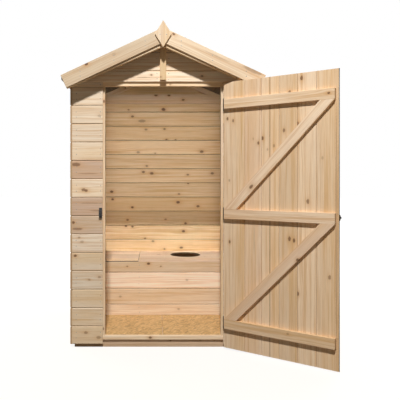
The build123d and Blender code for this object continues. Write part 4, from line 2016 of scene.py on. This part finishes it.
@dataclass
class Door:
    """Ledged and braced door standing open, with its tee hinges, bolt and keep."""

    hinge: tuple[float, float] = (0.380, -0.5655)
    open_degrees: float = 140.0
    outer: float = 0.003
    inner: float = 0.015
    joints: tuple[float, ...] = (0.159, 0.274, 0.389, 0.504, 0.619)
    hinge_edge: float = 0.008
    free_edge: float = 0.752
    ledge_centres: tuple[float, ...] = (0.162, 0.8405, 1.519)
    ease: float = 0.0016
    groove_rim: float = 0.0022
    groove_depth: float = 0.009
    groove_reach: float = 0.012
    edge_reach: float = 0.001
    nail_radius: float = 0.0028
    nail_shares: tuple[float, float] = (0.3, 0.7)
    nail_rise: float = 0.024
    knuckle: float = 0.006
    bore: float = 0.00325
    pin: float = 0.003
    # Length, width at the knuckle and at the nose, and thickness.
    strap: tuple[float, float, float, float] = (0.300, 0.036, 0.016, 0.003)
    strap_screws: tuple[float, ...] = (0.12, 0.36, 0.62, 0.9)
    # Width, height and thickness.
    plate: tuple[float, float, float] = (0.030, 0.100, 0.003)
    plate_knuckle: float = 0.020
    plate_overlap: float = 0.002
    plate_screw_share: float = 0.38
    knuckle_gap: float = 0.0005
    screw_radius: float = 0.0042
    bolt_height: float = 0.845
    bolt_radius: float = 0.005
    bolt_length: float = 0.096
    bolt_reach: float = 0.003
    # Length, width and thickness.
    bolt_plate: tuple[float, float, float] = (0.110, 0.034, 0.0025)
    staple_width: float = 0.014
    staple_thickness: float = 0.003
    staple_inset: float = 0.008
    bolt_screws: tuple[float, float] = (0.026, 0.012)
    bolt_screw_radius: float = 0.0032
    knob_radius: float = 0.0045
    keep_ease: float = 0.0011
    keep_screw_radius: float = 0.003
    keep_screw_inset: float = 0.0065
    keep_recess: float = 0.003
    tones: tuple[Tone, ...] = (Tone.CREAM, Tone.PEACH, Tone.CREAM, Tone.TAN, Tone.CREAM, Tone.TAN)
    marks: Marks = (
        (0.036, 1.429, 0.006, 0.85),
        (0.077, 1.414, 0.006, 0.70),
        (0.052, 0.669, 0.006, 0.85),
        (0.050, 1.048, 0.005, 0.40),
        (0.253, 1.270, 0.006, 0.85),
        (0.218, 1.297, 0.004, 0.30),
        (0.225, 0.700, 0.004, 0.20, 0.100),
        (0.282, 1.297, 0.007, 0.90),
        (0.315, 1.230, 0.005, 0.30),
        (0.357, 1.250, 0.006, 0.45),
        (0.330, 0.900, 0.003, 0.50, 1.800),
        (0.421, 1.336, 0.007, 0.70),
        (0.457, 1.552, 0.007, 0.90),
        (0.463, 1.098, 0.005, 0.70),
        (0.456, 0.713, 0.008, 0.85),
        (0.484, 0.706, 0.007, 0.85),
        (0.452, 0.444, 0.006, 0.75),
        (0.531, 1.626, 0.008, 0.85),
        (0.510, 1.564, 0.005, 0.70),
        (0.507, 1.370, 0.006, 0.90),
        (0.507, 1.114, 0.006, 0.90),
        (0.548, 0.988, 0.006, 0.70),
        (0.569, 0.930, 0.008, 0.70),
        (0.507, 0.405, 0.007, 0.90),
        (0.613, 1.632, 0.006, 0.40),
        (0.655, 1.172, 0.006, 0.25),
        (0.696, 0.518, 0.007, 0.60),
        (0.735, 0.800, 0.006, 0.30, 0.700),
    )
    brace_marks: Marks = ((0.216, 1.010, 0.009, 0.85), (0.515, 0.600, 0.006, 0.90))
    ledge_marks: Marks = ((0.700, 1.523, 0.005, 0.95), (0.455, 0.173, 0.005, 0.40))

    def __post_init__(self) -> None:
        """Work out the door's directions."""
        turn = math.radians(self.open_degrees)
        self.across = Vector((-math.cos(turn), -math.sin(turn), 0.0))
        self.inward = Vector((-math.sin(turn), math.cos(turn), 0.0))

    def point(self, across: float, height: float, inward: float) -> Vector:
        """Find a point of the door.

        Args:
            across: Distance from the hinge axis.
            height: Height above the ground.
            inward: Distance from the hinge axis towards the inner face.

        Returns:
            The point.
        """
        return Vector((*self.hinge, height)) + self.across * across + self.inward * inward

    def place(self, marks: Iterable[tuple[float, ...]]) -> list[Mark]:
        """Place marks on the door.

        Args:
            marks: Distance from the hinge axis, height, size and strength, and a streak's length.

        Returns:
            The marks.
        """
        return [
            Mark(
                self.point(across, height, self.inner),
                rest[0] if rest else 1.7 * size,
                1.1 * size,
                strength,
            )
            for across, height, size, strength, *rest in marks
        ]

    def build_leaf(self, finishes: Finishes) -> None:
        """Model the boards, ledges and braces.

        Args:
            finishes: The outhouse's finishes.
        """
        origin = self.point(0.0, 0.0, 0.0).dot(self.across)
        free = origin + self.free_edge

        def groove(board: Mesh) -> None:
            """Sink the groove in the free edge of the last board, marked for painted shade."""
            merge_flat(board)
            edge = [
                face
                for face in board.faces
                if face.normal.dot(self.across) > PARALLEL
                and face.calc_center_median().dot(self.across) > free - self.edge_reach
            ]
            if edge:
                bmesh.ops.inset_region(board, faces=edge, thickness=self.groove_rim)
                rim = {vert for face in edge for vert in face.verts}
                bmesh.ops.translate(board, verts=list(rim), vec=self.across * -self.groove_depth)
                # The edge's outer faces are marked for half painted shade, the groove's faces for
                # full near-black painted shade.
                for face in board.faces:
                    nearest = min(vert.co.dot(self.across) for vert in face.verts)
                    if nearest > free - self.edge_reach:
                        face.material_index = PaintedShade.RIM
                    elif nearest > free - self.groove_reach:
                        face.material_index = PaintedShade.DEEP

        axes = Axes(Z, self.across, -self.inward)
        leaf = Boards("door_leaf_boards")
        joints = [origin + place for place in self.joints]
        leaf.lay("door_boards", axes, joints, MATCHED, self.tones, self.place(self.marks), groove)
        leaf.publish(finishes.door, finishes, "door", ("door_boards",))
        timbers(
            "door_ledge_timbers",
            ("door_ledges",),
            finishes.door,
            finishes,
            "door",
            facing=self.inward,
            tones=(Tone.CREAM, Tone.TAN, Tone.PEACH),
            marks=self.place(self.ledge_marks),
            ease=self.ease,
        )
        timbers(
            "door_brace_timbers",
            ("door_brace_lower", "door_brace_upper"),
            finishes.door,
            finishes,
            "door",
            facing=self.inward,
            tones=(Tone.PEACH,),
            marks=self.place(self.brace_marks),
            ease=self.ease,
        )
        nails = Fixings("door_nails", nail_head(self.nail_radius))
        limits = (self.hinge_edge, *self.joints, self.free_edge)
        for start, end in zip(limits, limits[1:]):
            for share, rise in zip(self.nail_shares, (self.nail_rise, -self.nail_rise)):
                for centre in self.ledge_centres:
                    across = start + (end - start) * share + nails.stray(STRAY_ACROSS)
                    height = centre + rise + nails.stray(STRAY_ALONG)
                    nails.drive(self.point(across, height, self.outer), -self.inward)
        nails.publish(finishes.zinc, finishes, "door")

    def build_hinges(self, finishes: Finishes) -> None:
        """Model the tee hinges, whose straps turn on pins between the plates' knuckles.

        Args:
            finishes: The outhouse's finishes.
        """
        straps = Gathered("tee_hinge_straps")
        plates = Gathered("tee_hinge_plates")
        strap_screws = Fixings("strap_screws", screw_head(self.screw_radius))
        plate_screws = Fixings("plate_screws", screw_head(self.screw_radius))
        length, root, tip, thick = self.strap
        plate_width, plate_height, plate_thick = self.plate
        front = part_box("front_cladding_right")[0].y
        plate_low, plate_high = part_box("hinge_plates")
        for centre in self.ledge_centres:
            bar = steel_bar(Vector((length, root, thick)))
            bmesh.ops.translate(bar, verts=bar.verts, vec=(length / 2, 0.0, 0.0))
            for vert in bar.verts:
                vert.co.y *= 1.0 + (tip / root - 1.0) * vert.co.x / length
            nose = [
                edge
                for edge in corners(bar, 40.0)
                if min(vert.co.x for vert in edge.verts) > length - 0.002
                and abs(edge.verts[0].co.z - edge.verts[1].co.z) > thick / 2
            ]
            bevel(bar, nose, tip * 0.42, 4)
            cut(bar, X * (self.knuckle - 0.0012), -X)
            at = self.point(0.0, centre, thick / 2)
            straps.absorb(bar, basis(self.across, Z, self.across.cross(Z), at))
            straps.absorb(
                steel_tube(self.bore, self.knuckle, root),
                Matrix.Translation(self.point(0.0, centre, 0.0)),
            )
            for share in self.strap_screws:
                strap_screws.drive(self.point(length * share, centre, -0.0002), -self.inward)

            middle = Vector((plate_high.x - plate_width / 2, front - plate_thick / 2, centre))
            flat = basis(Z, X, -Y, middle)
            plates.absorb(steel_bar(Vector((plate_height, plate_width, plate_thick)), 0.004), flat)
            reach = root / 2 + self.knuckle_gap
            for sign in (-1, 1):
                knuckle_centre = centre + sign * (reach + self.plate_knuckle / 2)
                at = Vector((*self.hinge, knuckle_centre))
                plates.absorb(
                    steel_rod(self.knuckle, self.plate_knuckle, 0.0005), Matrix.Translation(at)
                )
                web_start = plate_low.x + self.knuckle
                plate_edge = plate_high.x - plate_width
                web_length = plate_edge - web_start + self.plate_overlap
                web = steel_bar(Vector((web_length, self.plate_knuckle, plate_thick)))
                web_middle = (plate_edge + web_start + self.plate_overlap) / 2
                at = Vector((web_middle, front - plate_thick / 2, knuckle_centre))
                plates.absorb(web, basis(X, Z, -Y, at))
                height = centre + sign * plate_height * self.plate_screw_share
                plate_screws.drive(Vector((middle.x, front - plate_thick, height)), -Y)
            plate_screws.drive(
                Vector((middle.x + self.plate_overlap, front - plate_thick, centre)), -Y
            )
            pin_length = 2 * (reach + self.plate_knuckle)
            plates.absorb(
                steel_rod(self.pin, pin_length, 0.0006),
                Matrix.Translation(Vector((*self.hinge, centre))),
            )
        straps.publish(finishes.black, finishes, "door", ("hinge_straps",), smooth=True)
        plates.publish(finishes.black, finishes, "building", ("hinge_plates",), smooth=True)
        strap_screws.publish(finishes.black, finishes, "door", smooth=True)
        plate_screws.publish(finishes.black, finishes, "building", smooth=True)

    def build_bolt(self, finishes: Finishes) -> None:
        """Model the bolt on the outer face and its keep beside the doorway.

        Args:
            finishes: The outhouse's finishes.
        """
        length, height, thick = self.bolt_plate
        bolt = Gathered("door_bolt")
        outer_axes = (self.across, Z, self.across.cross(Z))
        face = self.outer - thick
        centre = self.free_edge - length / 2
        bolt.absorb(
            steel_bar(Vector((length, height, thick)), 0.005),
            basis(*outer_axes, self.point(centre, self.bolt_height, self.outer - thick / 2)),
        )
        axis = face - self.bolt_radius
        out = -self.inward
        gauge = self.staple_thickness
        for end in (self.free_edge - length + 2 * self.staple_inset, self.free_edge):
            outer = self.bolt_radius + gauge
            arch = steel_tube(self.bolt_radius, outer, self.staple_width, math.pi)
            at = self.point(end - self.staple_inset, self.bolt_height, axis)
            bolt.absorb(arch, basis(Z, out, self.across, at))
            for sign in (-1, 1):
                leg = steel_bar(Vector((gauge, self.bolt_radius, self.staple_width)))
                offset = Z * sign * (self.bolt_radius + gauge / 2) - out * self.bolt_radius / 2
                bolt.absorb(leg, basis(Z, out, self.across, at + offset))
        rod_end = self.free_edge + self.bolt_reach
        rod_middle = self.point(rod_end - self.bolt_length / 2, self.bolt_height, axis)
        rod = steel_rod(self.bolt_radius - 0.0002, self.bolt_length, 0.0014)
        bolt.absorb(rod, basis(Z, out, self.across, rod_middle))
        stem = steel_rod(0.003, 0.012, 0.0005)
        bolt.absorb(stem, basis(Z, self.across, out, rod_middle + out * 0.009))
        knob = bmesh.new()
        bmesh.ops.create_uvsphere(knob, u_segments=20, v_segments=12, radius=self.knob_radius)
        bolt.absorb(knob, Matrix.Translation(rod_middle + out * 0.0145))
        bolt.publish(finishes.black, finishes, "door", ("latch_bolt",), smooth=True)
        screws = Fixings("bolt_screws", screw_head(self.bolt_screw_radius))
        apart, above = self.bolt_screws
        for across in (centre - apart, centre + apart):
            for sign in (-1, 1):
                screws.drive(self.point(across, self.bolt_height + sign * above, face), out)
        screws.publish(finishes.black, finishes, "door", smooth=True)

        keep = Gathered("bolt_keep")
        for solid in solids_of("latch_keep"):
            merge_flat(solid)
            bevel(solid, corners(solid), self.keep_ease, 2)
            keep.absorb(solid)
        keep.publish(finishes.black, finishes, "building", ("latch_keep",))
        low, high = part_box("latch_keep")
        keep_screws = Fixings("keep_screws", screw_head(self.keep_screw_radius))
        for z in (low.z + self.keep_screw_inset, high.z - self.keep_screw_inset):
            at = Vector(((low.x + high.x) / 2, high.y - self.keep_recess, z))
            keep_screws.drive(at, -Y)
        keep_screws.publish(finishes.black, finishes, "building", smooth=True)

    def build(self, finishes: Finishes) -> None:
        """Model the door and what it hangs on.

        Args:
            finishes: The outhouse's finishes.
        """
        self.build_leaf(finishes)
        self.build_hinges(finishes)
        self.build_bolt(finishes)


# Studio


@dataclass(frozen=True)
class Lamp:
    """A soft lamp, which the camera doesn't see."""

    name: str
    at: tuple[float, float, float]
    aim: tuple[float, float, float]
    watts: float
    size: tuple[float, float]
    spread_degrees: float = 180.0
    glossy: bool = True

    def hang(self) -> None:
        """Put the lamp in the scene."""
        data = bpy.data.lights.new(self.name, "AREA")
        data.shape = "RECTANGLE"
        data.size, data.size_y = self.size
        data.energy = self.watts
        data.spread = math.radians(self.spread_degrees)
        lamp = bpy.data.objects.new(self.name, data)
        lamp.location = self.at
        lamp.rotation_euler = (
            Vector(self.at) - Vector(self.aim)
        ).to_track_quat("Z", "Y").to_euler()
        lamp.visible_camera = False
        lamp.visible_glossy = self.glossy
        bpy.context.scene.collection.objects.link(lamp)


@dataclass
class Studio:
    """Floor and surroundings that look white but light little, the lamps and the camera."""

    floor_size: float = 60.0
    camera_at: tuple[float, float, float] = (-0.050, -4.2475, 1.05)
    sensor: float = 36.0
    lens: float = 53.1
    shift: tuple[float, float] = (0.1125, -0.05)
    lamps: tuple[Lamp, ...] = (
        Lamp("key_lamp", (-0.16, -5.00, 6.35), (0.0, -0.557, 1.1), 540.0, (0.42, 0.42)),
        Lamp("fill_lamp", (-0.6, -5.2, 1.3), (0.0, -0.557, 1.0), 2.5, (3.0, 2.0)),
        Lamp(
            "bench_lamp", (0.0, -0.470, 1.434), (0.0, 0.545, 0.541), 0.48, (1.00, 0.20), 6.0, False
        ),
        Lamp("back_lamp", (0.0, -0.470, 1.16), (0.0, 0.545, 1.20), 1.6, (0.96, 1.00), 26.0, False),
        Lamp("rear_left_lamp", (-4.2, 3.6, 1.5), (0.0, 0.0, 1.0), 190.0, (3.0, 2.4)),
        Lamp("rear_right_lamp", (4.2, 3.6, 1.5), (0.0, 0.0, 1.0), 190.0, (3.0, 2.4)),
    )
    ambient: float = 0.032
    ambient_colour: Colour = (1.0, 0.64, 0.30)
    floor_colour: Colour = (0.12, 0.088, 0.05)
    floor_roughness: float = 0.9
    floor_glow: tuple[float, float] = (0.87, 1.0)
    glow_reach: tuple[float, float] = (1.2, 4.0)

    def seen(self, graph: Graph) -> Socket:
        """Tell the rays that show the surroundings from those that only light.

        Args:
            graph: The graph to build in.

        Returns:
            One for a ray from the camera, off metal or through glass, and otherwise zero.
        """
        path = graph.node("ShaderNodeLightPath")
        shown = graph.math("MAXIMUM", path.outputs["Is Camera Ray"], path.outputs["Is Glossy Ray"])
        return graph.math("MAXIMUM", shown, path.outputs["Is Transmission Ray"])

    def build_floor(self) -> None:
        """Lay a dull warm floor, which glows white only for the rays that show it."""
        mesh = bpy.data.meshes.new("studio_floor")
        shape = bmesh.new()
        bmesh.ops.create_grid(shape, x_segments=4, y_segments=4, size=self.floor_size / 2)
        shape.to_mesh(mesh)
        shape.free()
        floor = bpy.data.objects.new("studio_floor", mesh)
        bpy.context.scene.collection.objects.link(floor)
        material, graph = new_material("pale_floor")
        shader = graph.node("ShaderNodeBsdfPrincipled")
        graph.feed((*self.floor_colour, 1.0), shader.inputs["Base Color"])
        graph.feed(self.floor_roughness, shader.inputs["Roughness"])
        graph.feed((1.0, 1.0, 1.0, 1.0), shader.inputs["Emission Color"])
        place = graph.node("ShaderNodeTexCoord").outputs["Object"]
        away = graph.node("ShaderNodeVectorMath", operation="LENGTH")
        graph.feed(place, away.inputs[0])
        level = graph.fade(away.outputs["Value"], *self.glow_reach, *self.floor_glow)
        glow = graph.math("MULTIPLY", self.seen(graph), level)
        graph.feed(glow, shader.inputs["Emission Strength"])
        graph.feed(shader.outputs[0], graph.node("ShaderNodeOutputMaterial").inputs["Surface"])
        mesh.materials.append(material)

    def build_world(self) -> None:
        """Surround the scene with faint warm light, which shows as plain white."""
        world = bpy.data.worlds.new("studio_surroundings")
        world.use_nodes = True
        world.node_tree.nodes.clear()
        graph = Graph(world.node_tree)
        backdrop = graph.node("ShaderNodeBackground")
        seen = self.seen(graph)
        graph.feed(graph.mix(seen, self.ambient_colour, (1.0, 1.0, 1.0)), backdrop.inputs["Color"])
        strength = graph.math("MULTIPLY_ADD", seen, 1.0 - self.ambient, self.ambient)
        graph.feed(strength, backdrop.inputs["Strength"])
        output = graph.node("ShaderNodeOutputWorld")
        graph.feed(backdrop.outputs[0], output.inputs["Surface"])
        bpy.context.scene.world = world

    def build_camera(self) -> None:
        """Place the camera."""
        data = bpy.data.cameras.new("camera")
        data.sensor_width = self.sensor
        data.lens = self.lens
        data.shift_x, data.shift_y = self.shift
        camera = bpy.data.objects.new("camera", data)
        camera.location = self.camera_at
        camera.rotation_euler = (math.pi / 2, 0.0, 0.0)
        bpy.context.scene.collection.objects.link(camera)
        bpy.context.scene.camera = camera

    def build(self) -> None:
        """Set up the studio."""
        self.build_floor()
        self.build_world()
        for lamp in self.lamps:
            lamp.hang()
        self.build_camera()
        bpy.context.scene.view_settings.view_transform = "Standard"


def main() -> None:
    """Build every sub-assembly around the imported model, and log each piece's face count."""
    logging.basicConfig(level=logging.INFO, format="%(name)s: %(message)s")
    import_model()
    finishes = Finishes()
    for part in (Base(), Walls(), Framing(), Roof(), Bench(), Door()):
        part.build(finishes)
    Studio().build()


if __name__ == "__main__":
    main()
